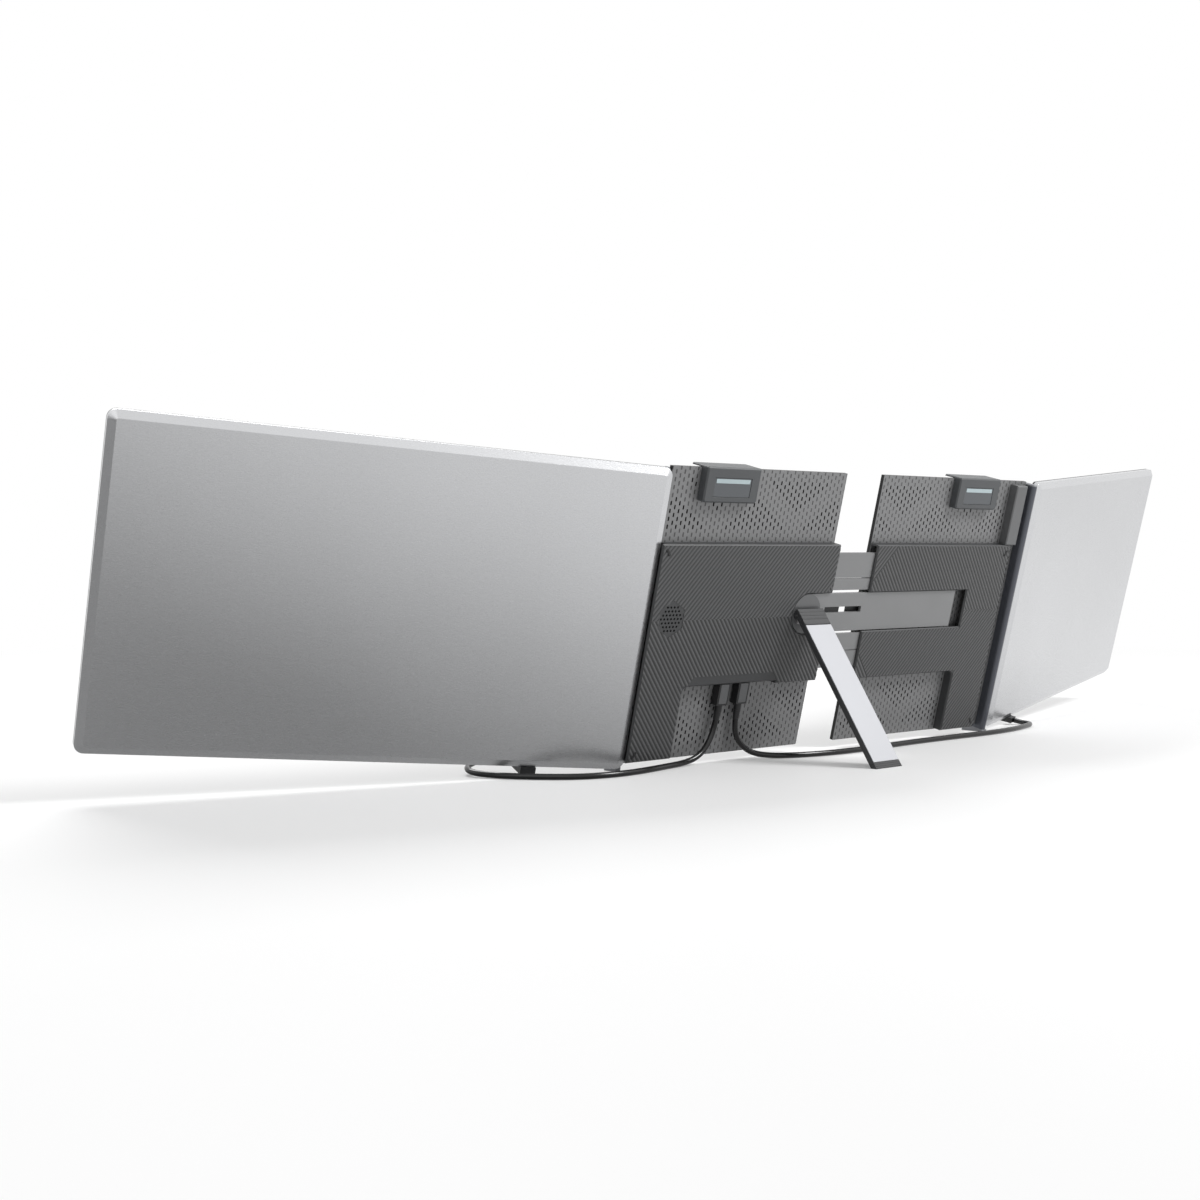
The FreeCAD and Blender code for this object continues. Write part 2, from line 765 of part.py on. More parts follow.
def turntable():
    disc = rod("disc_plate", "disc_radius", ("-disc_x", "disc_y", "rail_face + layer_gap"),
               "disc_thick", "z")
    post = rod("disc_post", "post_radius", ("-disc_x", "disc_y", "rail_foot - washer_thick - 2*layer_gap"),
               "rail_thick + washer_thick + 4*layer_gap", "z")
    piece("turntable_disc", fuse("turntable_disc_shape", disc, post), PANEL)

    ring = rod("washer_ring", "washer_radius",
               ("-disc_x", "disc_y", "rail_foot - washer_thick - layer_gap"), "washer_thick", "z")
    hole = rod("washer_hole", "post_radius", ("-disc_x", "disc_y", "rail_foot - 2*washer_thick"),
               "3*washer_thick", "z")
    piece("turntable_washer", cut("turntable_washer_shape", ring, hole), PANEL)


def leg_bracket():
    base = block("bracket_base", ("-disc_x - ear_spread - ear_wide/2", "-disc_x + ear_spread + ear_wide/2"),
                 ("disc_y - bracket_low", "disc_y - leg_hub_radius + layer_gap"),
                 ("disc_face", "disc_face + bracket_thick"))
    ears = []
    for place in (-1, 1):
        x = (f"-disc_x + {place}*ear_spread - ear_wide/2", f"-disc_x + {place}*ear_spread + ear_wide/2")
        stem = block("ear_stem", x, ("disc_y - leg_hub_radius", "disc_y + leg_hub_radius"),
                     ("disc_face", "pivot_z"))
        head = rod("ear_head", "leg_hub_radius", (x[0], "disc_y", "pivot_z"), "ear_wide", "x")
        ears += [stem, head]
    eye = rod("ear_eye", "leg_pin_radius",
              ("-disc_x - leg_wide/2", "disc_y", "pivot_z"), "leg_wide", "x")
    joined = fuse("bracket_joined", base, *ears)
    piece("leg_bracket", cut("leg_bracket_shape", joined, eye), PANEL)
    pin = rod("leg_pin_rod", "leg_pin_radius",
              ("-disc_x - leg_wide/2 + leg_pin_setback", "disc_y", "pivot_z"),
              "leg_wide - 2*leg_pin_setback", "x")
    piece("leg_pin", pin, PANEL)


def leg_hub():
    owner = body("leg_hub_body")
    across = ("-leg_wide/2", "leg_wide/2")
    add_block(owner, "hub_slab", across, ("-leg_hub_bottom", 0), ("leg_face - leg_thick", "leg_face"))
    add_block(owner, "hub_head", across, (0, "leg_face"), (0, "leg_face"))
    add_rod(owner, "hub_barrel", "leg_hub_radius", ("-leg_wide/2", 0, 0), "leg_wide", "x")
    for place in (-1, 1):
        slot_x = (f"{place}*ear_spread - ear_wide/2 - ear_play",
                  f"{place}*ear_spread + ear_wide/2 + ear_play")
        cut_block(owner, "hub_slot", slot_x, ("-leg_hub_radius*1.5", "2*leg_face"),
                  ("-2*leg_face", "leg_face + 1"))
    cut_rod(owner, "hub_bore", "leg_pin_radius + running_fit", ("-leg_wide", 0, 0), "2*leg_wide", "x")
    piece("leg_hub", owner, LEG)


def leg():
    owner = body("leg_strip_body")
    add_block(owner, "strip", ("-leg_wide/2", "leg_wide/2"), ("-leg_strip_end", "-leg_hub_bottom"),
              ("leg_face - leg_thick", "leg_face"))
    bevel_edges(owner, "strip_bevel", "cover_bevel/2", "cover_bevel/2",
                lambda box: level_at("leg_face")(box) and box.XLength < NEAR)
    piece("leg", owner, LEG)


def leg_foot():
    """Rubber end of the leg, cut level where it meets the floor."""
    owner = body("leg_foot_body")
    add_block(owner, "foot_block", ("-leg_wide/2", "leg_wide/2"),
              ("-leg_strip_end - leg_foot_long", "-leg_strip_end"), ("leg_face - leg_thick", "leg_face"))
    cut_below_floor(owner, "foot_level", "(lean_angle - leg_angle)",
                    "floor_drop + disc_y*cos(lean_angle) - pivot_z*sin(lean_angle)")
    piece("leg_foot", owner, LEG)


turntable()
leg_bracket()
leg_hub()
leg()
leg_foot()


# Hinge bars, pins, caps and feet on the halves

HINGES = ("hinge_low", "hinge_high")


def pins(side):
    word = "left" if side < 0 else "right"
    rods = [rod(f"{word}_pin_rod", f"{word}_pin",
                (f"{side}*{word}_axis_x", f"{low} - pin_grip", f"{word}_axis_z"),
                "hinge_span + 2*pin_grip", "y") for low in HINGES]
    piece(f"hinge_pins_{word}", group(f"hinge_pins_{word}_set", *rods), PANEL)


def pin_bores(word, side):
    return [rod(f"{word}_pin_bore", f"{word}_pin",
                (f"{side}*{word}_axis_x", f"{low} - pin_grip", f"{word}_axis_z"),
                "hinge_span + 2*pin_grip", "y") for low in HINGES]


def bar_left():
    barrel = rod("left_barrel", "left_knuckle", ("-left_axis_x", "bar_bottom", "left_axis_z"),
                 "bar_top - bar_bottom", "y")
    web = block("left_web_plate", ("-left_axis_x", "-left_plate_end"), (0, "bar_top"),
                ("left_axis_z - left_web", "left_axis_z + left_web"))
    notches = [block("left_notch", ("-left_axis_x - 2*left_knuckle", "-left_plate_end"),
                     (f"{low} - hinge_end_gap", f"{low} + hinge_span + hinge_end_gap"),
                     ("left_axis_z - 2*left_knuckle", "left_axis_z + 2*left_knuckle"))
               for low in HINGES]
    piece("hinge_bar_left", cut("hinge_bar_left_shape", fuse("left_bar_whole", barrel, web),
                                *notches, *pin_bores("left", -1)), PANEL)


def bar_right():
    tall = "bar_top - bar_bottom"
    front = rod("right_bar_front", "right_bar_half",
                ("right_axis_x", "bar_bottom", "right_axis_z"), tall, "y")
    rear = rod("right_bar_rear", "right_bar_half",
               ("right_axis_x", "bar_bottom", "right_bar_back"), tall, "y")
    wall = block("right_bar_wall", ("right_axis_x - right_bar_half", "right_axis_x + right_bar_half"),
                 ("bar_bottom", "bar_top"), ("right_axis_z", "right_bar_back"))
    notches = []
    far = "right_axis_x + 2*right_bar_half"
    for low in HINGES:
        tall_gap = (f"{low} - hinge_end_gap", f"{low} + hinge_span + hinge_end_gap")
        notches.append(block("right_notch", ("right_axis_x - 2*right_bar_half", far), tall_gap,
                             ("right_axis_z - 2*right_bar_half",
                              "right_axis_z + right_knuckle + knuckle_clear")))
        notches.append(block("right_web_way", ("right_axis_x - web_clear", far), tall_gap,
                             ("right_axis_z", "right_axis_z + right_web_top + 2*web_clear")))
    piece("hinge_bar_right", cut("hinge_bar_right_shape", fuse("right_bar_whole", front, rear, wall),
                                 *notches, *pin_bores("right", 1)), PANEL)


def bar_ends(side):
    """Cap on the bar's top, as round as the bar, and a foot under it, cut level with the floor."""
    word = "left" if side < 0 else "right"
    half = "left_knuckle" if side < 0 else "right_bar_half"
    back = "left_axis_z + left_knuckle" if side < 0 else "right_bar_back + right_bar_half"
    axis = f"{side}*{word}_axis_x"
    across = (f"{axis} - {half}", f"{axis} + {half}")
    cap = body(f"bar_cap_{word}_body")
    add_rod(cap, f"cap_{word}_front", half, (axis, "bar_top", f"{word}_axis_z"), "cap_thick", "y")
    if side > 0:
        add_rod(cap, "cap_right_rear", half, (axis, "bar_top", "right_bar_back"), "cap_thick", "y")
        add_block(cap, "cap_right_block", across, ("bar_top", "bar_top + cap_thick"),
                  ("right_axis_z", "right_bar_back"))
    bevel_edges(cap, f"cap_{word}_bevel", "cap_thick/2", "cap_thick/2",
                lambda box: abs(box.YMin - size("bar_top + cap_thick")) < NEAR)
    foot = body(f"bar_foot_{word}_body")
    top = "foot_top" if side < 0 else "bar_bottom"
    add_block(foot, f"foot_{word}_block", across, ("foot_top - foot_tall", top), ("-foot_toe", back))
    if side < 0:
        add_rod(foot, "foot_left_neck", half, (axis, top, "left_axis_z"), "bar_bottom - foot_top", "y")
    cut_below_floor(foot, f"foot_{word}_level", "lean_angle", "floor_drop")
    piece(f"bar_ends_{word}", group(f"bar_ends_{word}_set", cap, foot), PANEL)


pins(-1)
pins(1)
bar_left()
bar_right()
bar_ends(-1)
bar_ends(1)


# Wings

def wing(side):
    word = "left" if side < 0 else "right"
    frame = LEFT_WING if side < 0 else RIGHT_WING
    edge, back = f"{word}_edge", f"{word}_back"
    front = f"{word}_back - wing_depth"
    bottom, top = f"-{word}_drop", f"wing_height - {word}_drop"
    far = f"{edge} + wing_width"
    seat = f"{front} + bezel_thick"
    port = f"{word}_port_along"

    def out(near, distant):
        return span(side, near, distant)

    # Aluminium back shell with a bevelled rim
    shell = body(f"wing_{word}_shell")
    add_block(shell, f"{word}_slab", out(edge, far), (bottom, top), (seat, back))
    for name, inset, depth in (("outer", "wing_wall", "wing_bevel_depth + wing_wall"),
                               ("inner", "wing_bevel", "wing_wall")):
        cut_block(shell, f"{word}_{name}_hollow", out(f"{edge} + {inset}", f"{far} - {inset}"),
                  (f"{bottom} + {inset}", f"{top} - {inset}"), (f"{seat} - 1", f"{back} - ({depth})"))
    for name, inset in (("pocket", "wing_wall"), ("rim", "0")):
        for x in out(f"{edge} + {inset}", f"{far} - {inset}"):
            for y in (f"{bottom} + {inset}", f"{top} - {inset}"):
                round_edges(shell, f"{word}_{name}_corner", f"wing_corner - {inset}", upright_at(x, y))
    bevel_edges(shell, f"{word}_rim", "wing_bevel_depth", "wing_bevel", level_at(back))
    cut_block(shell, f"{word}_port_way", out(f"{port} - socket_wide/2", f"{port} + socket_wide/2"),
              (f"{bottom} - 1", f"{bottom} + wing_wall + socket_deep"),
              (f"{seat} - 1", f"{seat} + socket_thick"))
    cut_block(shell, f"{word}_button_way",
              out("button_along - button_play", "button_along + button_long + button_play"),
              (f"{bottom} - 1", f"{bottom} + 2*wing_wall"),
              (f"{seat} + layer_gap - button_play", f"{seat} + layer_gap + button_wide + button_play"))
    if side > 0:
        for low in HINGES:
            cut_block(shell, "leaf_way", out("right_edge - 1", "right_edge + 2*wing_wall"),
                      (f"{low} - hinge_end_gap", f"{low} + hinge_span + hinge_end_gap"),
                      (f"{seat} - 1", "right_web_top + layer_gap"))
    piece(f"wing_{word}_back", shell, frame)

    # Front frame, cut short beside the left hinge where the barrel turns
    glass_x = out(f"{edge} + screen_margin - glass_lap", f"{far} - screen_margin + glass_lap")
    glass_y = (f"{bottom} + screen_chin - glass_lap", f"{bottom} + screen_chin + screen_tall + glass_lap")
    bezel = body(f"wing_{word}_bezel_body")
    near = "left_rebate" if side < 0 else edge
    add_block(bezel, f"{word}_frame", out(near, far), (bottom, top), (front, seat))
    for x in (far,) if side < 0 else (near, far):
        for y in (bottom, top):
            round_edges(bezel, f"{word}_frame_corner", "wing_corner", upright_at(f"{side}*({x})", y))
    cut_block(bezel, f"{word}_view", out(f"{edge} + screen_margin", f"{far} - screen_margin"),
              (f"{bottom} + screen_chin", f"{bottom} + screen_chin + screen_tall"),
              (f"{front} - 1", f"{seat} + 1"))
    piece(f"wing_{word}_bezel", bezel, frame)

    glass = block(f"{word}_glass_slab", glass_x, glass_y, (seat, f"{seat} + glass_thick"))
    piece(f"wing_{word}_panel", glass, frame)
    light_y = (glass_y[0], f"{bottom} + screen_chin + screen_tall")
    light = block(f"{word}_light_slab", glass_x, light_y,
                  (f"{seat} + glass_thick", f"{seat} + glass_thick + light_thick"))
    piece(f"wing_{word}_backlight", light, frame)

    # Driver board behind the backlight and the socket at the bottom edge
    board_low = f"{bottom} + screen_chin"
    board_seat = f"{seat} + glass_thick + light_thick"
    board = block(f"{word}_driver_slab", out("driver_start", "driver_start + driver_long"),
                  (board_low, f"{board_low} + driver_tall"),
                  (board_seat, f"{board_seat} + driver_thick"))
    socket = socket_shell(f"{word}_wing_socket", out(f"{port} - tip_wide/2 - socket_wall - layer_gap",
                                                     f"{port} + tip_wide/2 + socket_wall + layer_gap"),
                          (f"{bottom} + wing_wall/2", f"{bottom} + wing_wall/2 + socket_deep"),
                          (seat, f"{seat} + tip_thick + 2*socket_wall + 2*layer_gap"))
    piece(f"wing_{word}_board", group(f"wing_{word}_board_set", board, socket), frame)

    # Button that stands out of the bottom edge, held by a flange inside
    button_z = (f"{seat} + layer_gap", f"{seat} + layer_gap + button_wide")
    cap = block(f"{word}_button_cap", out("button_along", "button_along + button_long"),
                (f"{bottom} - button_proud", f"{bottom} + button_deep"), button_z)
    flange = block(f"{word}_button_flange", out("button_along - button_flange",
                                                "button_along + button_long + button_flange"),
                   (f"{bottom} + wing_wall + button_play", f"{bottom} + button_deep"), button_z)
    piece(f"wing_{word}_button", fuse(f"wing_{word}_button_shape", cap, flange), frame)

    # Low plug under the bottom edge with its tip in the socket
    plug_z = ("left_plug_front", "left_plug_back") if side < 0 else ("right_plug_front", "right_plug_back")
    mould = block(f"{word}_plug_mould", out(f"{port} - plug_wide/2", f"{port} + plug_wide/2"),
                  (f"{bottom} - plug_gap - {word}_plug_tall", f"{bottom} - plug_gap"), plug_z)
    tip = block(f"{word}_plug_tip", out(f"{port} - tip_wide/2", f"{port} + tip_wide/2"),
                (f"{bottom} - plug_gap", f"{bottom} + wing_wall/2 + tip_long"),
                (f"{seat} + socket_wall + layer_gap", f"{seat} + socket_wall + layer_gap + tip_thick"))
    piece(f"wing_plug_{word}", fuse(f"wing_plug_{word}_shape", mould, tip), frame)


wing(-1)
wing(1)


def hinge_arms_left():
    """Knuckles round the left pins, each with a web up into the wing and a boss inside it."""
    near, pocket = "left_edge + wing_wall + layer_gap", "left_back - wing_bevel_depth - wing_wall"
    arms = []
    for low in HINGES:
        tall = (low, f"{low} + hinge_span")
        knuckle = rod("left_knuckle_rod", "left_knuckle", (0, low, 0), "hinge_span", "y")
        web = block("left_arm_web", span(-1, near, "left_knuckle - layer_gap"), tall, (0, pocket))
        boss = block("left_arm_boss", span(-1, near, "left_boss_end"), tall,
                     ("left_back - wing_depth + bezel_thick + layer_gap", pocket))
        bore = rod("left_arm_bore", "left_pin + running_fit", (0, f"{low} - 1", 0), "hinge_span + 2", "y")
        arms.append(cut("left_arm", fuse("left_arm_whole", knuckle, web, boss), bore))
    piece("hinge_arms_left", group("hinge_arms_left_set", *arms), LEFT_WING)


def hinge_arms_right():
    """Knuckles round the right pins, each with a web through the bar and a boss inside the wing."""
    seat, pocket = "right_back - wing_depth + bezel_thick", "right_back - wing_bevel_depth - wing_wall"
    arms = []
    for low in HINGES:
        tall = (low, f"{low} + hinge_span")
        knuckle = rod("right_knuckle_rod", "right_knuckle", (0, low, 0), "hinge_span", "y")
        web = block("right_arm_web", (0, "right_knuckle"), tall, (0, "right_web_top"))
        leaf = block("right_arm_leaf", (0, "right_leaf_end"), tall, (seat, "right_web_top"))
        boss = block("right_arm_boss", ("right_edge + wing_wall + layer_gap", "right_leaf_end"), tall,
                     (seat, pocket))
        bore = rod("right_arm_bore", "right_pin + running_fit", (0, f"{low} - 1", 0), "hinge_span + 2", "y")
        arms.append(cut("right_arm", fuse("right_arm_whole", knuckle, web, leaf, boss), bore))
    piece("hinge_arms_right", group("hinge_arms_right_set", *arms), RIGHT_WING)


hinge_arms_left()
hinge_arms_right()


# Leads: a plug at the left cover's sockets, a free length along the floor, a low plug at the wing

def base_plug(word, name):
    x = f"-{name}_socket_x"
    mould = block(f"{word}_mould", (f"{x} - plug_wide/2", f"{x} + plug_wide/2"),
                  ("plug_bottom", "port_band_bottom - plug_gap"),
                  ("socket_z - plug_thick/2", "socket_z + plug_thick/2"))
    tip = block(f"{word}_tip", (f"{x} - tip_wide/2", f"{x} + tip_wide/2"),
                ("port_band_bottom - plug_gap", "socket_y + tip_long"),
                ("socket_z - tip_thick/2", "socket_z + tip_thick/2"))
    sleeve = rod(f"{word}_sleeve", "sleeve_radius", (x, "sleeve_end", "socket_z"),
                 "plug_bottom - sleeve_end", "y")
    piece(f"base_plug_{word}", fuse(f"base_plug_{word}_shape", mould, tip, sleeve), PANEL)


base_plug("left", "outer")
base_plug("right", "inner")


def lead_start(name):
    place = (f"-{name}_socket_x", "sleeve_end - layer_gap", "socket_z")
    return PANEL.multVec(Vector(*(size(text) for text in place)))


def lead_end(side):
    word = "left" if side < 0 else "right"
    frame = LEFT_WING if side < 0 else RIGHT_WING
    end = size("left_plug_front - layer_gap") if side < 0 else size("right_plug_back + layer_gap")
    middle = -size(f"{word}_drop") - size("plug_gap") - size(f"{word}_plug_tall") / 2
    return frame.multVec(Vector(side * size(f"{word}_port_along"), middle, end))


# Points between the plugs, along X, Y, Z with the floor at Z = 0
LEFT_ROUTE = (
    (118.8, 9.6, 28.0), (121.4, 8.0, 18.4), (127.6, 7.8, 10.2), (137.6, 8.4, 4.6), (151.5, 9.2, 2.4),
    (169.0, 12.0, 2.15), (189.0, 17.2, 2.2), (210.0, 20.6, 2.15), (231.0, 20.6, 2.2),
    (251.0, 14.4, 2.15), (268.5, 0.6, 2.2), (285.0, -20.0, 2.15), (292.5, -35.9, 2.4),
    (295.7, -44.9, 3.0), (293.9, -54.2, 4.2), (287.4, -61.1, 5.8), (278.3, -63.7, 7.6),
    (269.1, -61.2, 9.4), (262.6, -54.3, 10.9), (260.6, -45.0, 11.1),
)
RIGHT_ROUTE = (
    (98.2, 9.6, 28.2), (95.9, 8.0, 18.9), (90.6, 8.6, 10.6), (82.4, 12.2, 4.6), (70.5, 18.8, 2.4),
    (55.0, 26.6, 2.15), (37.0, 32.2, 2.2), (14.0, 35.4, 2.15), (-13.0, 35.8, 2.2), (-43.0, 33.4, 2.15),
    (-75.0, 30.6, 2.2), (-109.0, 29.2, 2.15), (-144.0, 28.9, 2.2), (-179.0, 29.2, 2.15),
    (-208.5, 27.2, 2.2), (-235.0, 22.6, 2.15), (-257.1, 15.8, 2.2), (-271.2, 10.7, 2.15),
    (-276.5, 4.4, 2.2), (-277.9, -3.5, 2.23),
)


def tube(name, points):
    """A round tube along straight runs that tangent arcs join."""
    path = []
    last = points[0]
    radii = []
    for before, here, after in zip(points, points[1:], points[2:]):
        back, ahead = before - here, after - here
        run = min(back.Length, ahead.Length)
        half_turn = (math.pi - back.getAngle(ahead)) / 2
        radius = ARC_SHARE * run / math.tan(half_turn)
        back.normalize()
        ahead.normalize()
        start, end = here + back * ARC_SHARE * run, here + ahead * ARC_SHARE * run
        inward = back + ahead
        inward.normalize()
        middle = here + inward * (radius / math.cos(half_turn) - radius)
        path.append(Part.LineSegment(last, start).toShape())
        path.append(Part.Arc(start, middle, end).toShape())
        radii.append(round(radius, 1))
        last = end
    path.append(Part.LineSegment(last, points[-1]).toShape())
    wire = Part.Wire(path)
    direction = points[1] - points[0]
    section = Part.Wire(Part.makeCircle(size("cord_radius"), points[0], direction))
    solid = wire.makePipeShell([section], True, False)
    expected = math.pi * size("cord_radius") ** 2 * wire.Length
    print(name, "radii", radii, "volume over expected", round(solid.Volume / expected, 4))
    feature = doc.addObject("Part::Feature", name + "_tube")
    feature.Shape = solid
    return feature


FLOOR = Placement()
left_points = [lead_start("outer")] + [Vector(*p) for p in LEFT_ROUTE] + [lead_end(-1)]
right_points = [lead_start("inner")] + [Vector(*p) for p in RIGHT_ROUTE] + [lead_end(1)]
piece("cord_left", tube("cord_left", left_points), FLOOR)
piece("cord_right", tube("cord_right", right_points), FLOOR)

# The object's origin is on the floor under the middle of its outline, leads left out
LEADS = ("cord_left", "cord_right", "base_plug_left", "base_plug_right",
         "wing_plug_left", "wing_plug_right")
doc.recompute()
extent = FreeCAD.BoundBox()
for label, (shape, frame) in pieces.items():
    shape.Placement = frame
doc.recompute()
for label, (shape, frame) in pieces.items():
    if label not in LEADS:
        extent.add(shape.Shape.optimalBoundingBox(False, False))
to_origin = Placement(Vector(-extent.Center.x, -extent.Center.y, 0), Rotation())
for label, (shape, frame) in pieces.items():
    shape.Placement = to_origin * frame
doc.recompute()

for thing in doc.Objects:
    if "Invalid" in thing.State or "Error" in thing.State:
        raise RuntimeError(f"{thing.Name} failed: {thing.State}")
for label, (shape, frame) in pieces.items():
    if shape.Shape.isNull() or not shape.Shape.isValid() or not shape.Shape.Solids:
        raise RuntimeError(f"{label} has no valid solid")

os.makedirs("parts", exist_ok=True)
for label, (shape, frame) in pieces.items():
    shape.Shape.exportStep(f"parts/{label}.step")
print(len(pieces), "pieces", "origin moved by", round(-extent.Center.x, 3), round(-extent.Center.y, 3),
      "lowest", round(extent.ZMin, 3), "top", round(extent.ZMax, 3))
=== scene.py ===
import math

import bmesh
import bpy
from mathutils import Matrix, Vector


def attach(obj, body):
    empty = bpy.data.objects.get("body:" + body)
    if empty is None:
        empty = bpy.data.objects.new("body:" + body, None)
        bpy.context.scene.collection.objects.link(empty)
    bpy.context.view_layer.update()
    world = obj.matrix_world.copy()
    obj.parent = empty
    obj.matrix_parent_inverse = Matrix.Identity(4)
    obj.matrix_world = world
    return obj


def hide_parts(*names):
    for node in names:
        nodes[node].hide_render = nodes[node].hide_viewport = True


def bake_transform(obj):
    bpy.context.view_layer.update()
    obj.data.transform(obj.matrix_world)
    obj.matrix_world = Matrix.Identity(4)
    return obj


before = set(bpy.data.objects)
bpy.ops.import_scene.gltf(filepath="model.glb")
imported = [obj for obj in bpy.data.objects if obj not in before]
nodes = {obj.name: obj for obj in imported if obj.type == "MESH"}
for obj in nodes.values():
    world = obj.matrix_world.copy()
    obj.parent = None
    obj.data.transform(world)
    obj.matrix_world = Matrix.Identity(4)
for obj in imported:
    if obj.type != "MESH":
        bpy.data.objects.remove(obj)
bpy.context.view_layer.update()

# Frames of the bodies, as they stand in use. Places in them are given in millimetres.
# The back panel's: x to the right as seen from behind, y up along it, z out of its back.
MM = 0.001
LEAN = math.radians(13.85)
PANEL = Matrix(((-1, 0, 0, 0.007747),
                (0, math.sin(LEAN), math.cos(LEAN), 0.00227),
                (0, math.cos(LEAN), -math.sin(LEAN), 0.0057),
                (0, 0, 0, 1)))
LEFT_WING = (PANEL @ Matrix.Translation((-0.20313, 0, -0.00278))
             @ Matrix.Rotation(math.radians(-18.75), 4, "Y"))
RIGHT_WING = (PANEL @ Matrix.Translation((0.20793, 0, -0.00594))
              @ Matrix.Rotation(math.radians(16.86), 4, "Y"))
LEG = (PANEL @ Matrix.Translation((-0.046, 0.1052, 0.01005))
       @ Matrix.Rotation(math.radians(-47.86), 4, "X"))
FLOOR = Matrix.Translation((0.007747, 0.00227, 0))


# Within this, two places count as one
NEAR = 0.0001

# Ribs on the covers: the height of the face that they stand on, their spacing across, how steep
# they are, how high, how far they are set into the face, and the margin above their foot and below
# their crest within which the painted shade in the grooves and the painted highlight on the crests stay
# even
COVER_FACE = 7.5
RIB_PITCH = 3.9
RIB_SLOPE = 1.2
RIB_CREST = 0.45
RIB_SINK = 0.1
RIB_PLAIN = 0.08

# The lattice of the plates' slots: the middle of one of them, their spacing across and along, half
# of a slot's width and length, and how steeply its pointed ends run in
SLOT_MIDDLE = (2.9, 187.0)
SLOT_PITCH = (8.13, 5.44)
SLOT_HALF = (0.75, 1.75)
TIP_SLOPE = 0.6


def place(frame_of, x, y, z):
    """A place in a body's frame, in millimetres, as a point in metres."""
    return frame_of @ (Vector((x, y, z)) * MM)


# Camera, from behind and to the left

def make_camera():
    data = bpy.data.cameras.new("camera")
    data.sensor_width = 36
    data.lens = 52.3
    data.clip_start = 0.01
    camera = bpy.data.objects.new("camera", data)
    camera.location = (1.0218, 0.88747, 0.15301)
    camera.rotation_euler = (1.54223, 0, 2.41104)
    bpy.context.collection.objects.link(camera)
    bpy.context.scene.camera = camera


make_camera()


# Materials

class Finish:
    """A material with the few nodes that most of the finishes share."""

    def __init__(self, name, colour, roughness, metallic=0.0):
        self.material = bpy.data.materials.new(name)
        self.material.use_nodes = True
        self.tree = self.material.node_tree
        self.shader = self.tree.nodes["Principled BSDF"]
        self.colour = (*colour, 1)
        self.set("Base Color", self.colour)
        self.set("Roughness", roughness)
        self.set("Metallic", metallic)

    def set(self, socket, value):
        self.shader.inputs[socket].default_value = value

    def node(self, kind, **inputs):
        made = self.tree.nodes.new(kind)
        for name, value in inputs.items():
            self.feed(made.inputs[name.replace("_", " ")], value)
        return made

    def feed(self, socket, value):
        if isinstance(value, bpy.types.NodeSocket):
            self.tree.links.new(value, socket)
        else:
            socket.default_value = value

    def sum(self, operation, *values):
        made = self.tree.nodes.new("ShaderNodeMath")
        made.operation = operation
        for socket, value in zip(made.inputs, values):
            self.feed(socket, value)
        return made.outputs[0]

    def where(self, frame_of):
        """The surface point's x, y and z in a body's frame, in millimetres."""
        point = self.node("ShaderNodeTexCoord").outputs["Object"]
        back = frame_of.inverted()
        axes = []
        for row in range(3):
            dot = self.node("ShaderNodeVectorMath")
            dot.operation = "DOT_PRODUCT"
            self.feed(dot.inputs[0], point)
            self.feed(dot.inputs[1], Vector(back[row][:3]) / MM)
            axes.append(self.sum("ADD", dot.outputs["Value"], back[row][3] / MM))
        return axes

    def noise(self, scale, detail=3.0, stretch=None, frame_of=None):
        made = self.node("ShaderNodeTexNoise", Scale=scale, Detail=detail)
        if stretch:
            x, y, z = self.where(frame_of)
            drawn_out = self.node("ShaderNodeCombineXYZ",
                                  X=self.sum("MULTIPLY", x, stretch[0]),
                                  Y=self.sum("MULTIPLY", y, stretch[1]),
                                  Z=self.sum("MULTIPLY", z, stretch[2]))
            self.feed(made.inputs["Vector"], drawn_out.outputs[0])
        else:
            self.feed(made.inputs["Vector"], self.node("ShaderNodeTexCoord").outputs["Object"])
        return made.outputs["Fac"]

    def shade(self, amount, dark, light):
        """Colour the surface between two strengths of its own colour."""
        blend = self.node("ShaderNodeMix")
        blend.data_type = "RGBA"
        self.feed(blend.inputs["Factor"], amount)
        blend.inputs["A"].default_value = (*(part * dark for part in self.colour[:3]), 1)
        blend.inputs["B"].default_value = (*(part * light for part in self.colour[:3]), 1)
        self.feed(self.shader.inputs["Base Color"], blend.outputs["Result"])

    def span(self, amount, start=(0.0, 1.0), end=(0.0, 1.0)):
        """An amount between the first pair of values, brought between the second pair."""
        return self.node("ShaderNodeMapRange", Value=amount, From_Min=start[0], From_Max=start[1],
                         To_Min=end[0], To_Max=end[1]).outputs[0]

    def vary(self, amount, low, high):
        self.feed(self.shader.inputs["Roughness"], self.span(amount, end=(low, high)))

    def bump(self, height, depth, under=None):
        made = self.node("ShaderNodeBump", Height=height, Strength=1.0, Distance=depth)
        if under:
            self.feed(made.inputs["Normal"], under)
        self.feed(self.shader.inputs["Normal"], made.outputs[0])

    def soft_edges(self, radius):
        return self.node("ShaderNodeBevel", Radius=radius).outputs[0]


def satin_aluminium(name, colour, frame_of, rough, metallic):
    finish = Finish(name, colour, 0.35, metallic)
    brushed = finish.noise(1.0, 4.0, (0.25, 14.0, 14.0), frame_of)
    cloudy = finish.noise(9.0, 2.0)
    finish.shade(cloudy, 0.96, 1.04)
    finish.vary(brushed, *rough)
    finish.bump(brushed, 0.00002, finish.soft_edges(0.0003))
    return finish.material


def painted(name, colour, rough=0.45, grain=2500.0, depth=0.00004, edges=0.0003, metallic=0.0):
    finish = Finish(name, colour, rough, metallic)
    fine = finish.noise(grain, 2.0)
    finish.shade(finish.noise(25.0, 3.0), 0.93, 1.07)
    finish.vary(fine, rough - 0.06, rough + 0.08)
    finish.bump(fine, depth, finish.soft_edges(edges))
    return finish.material


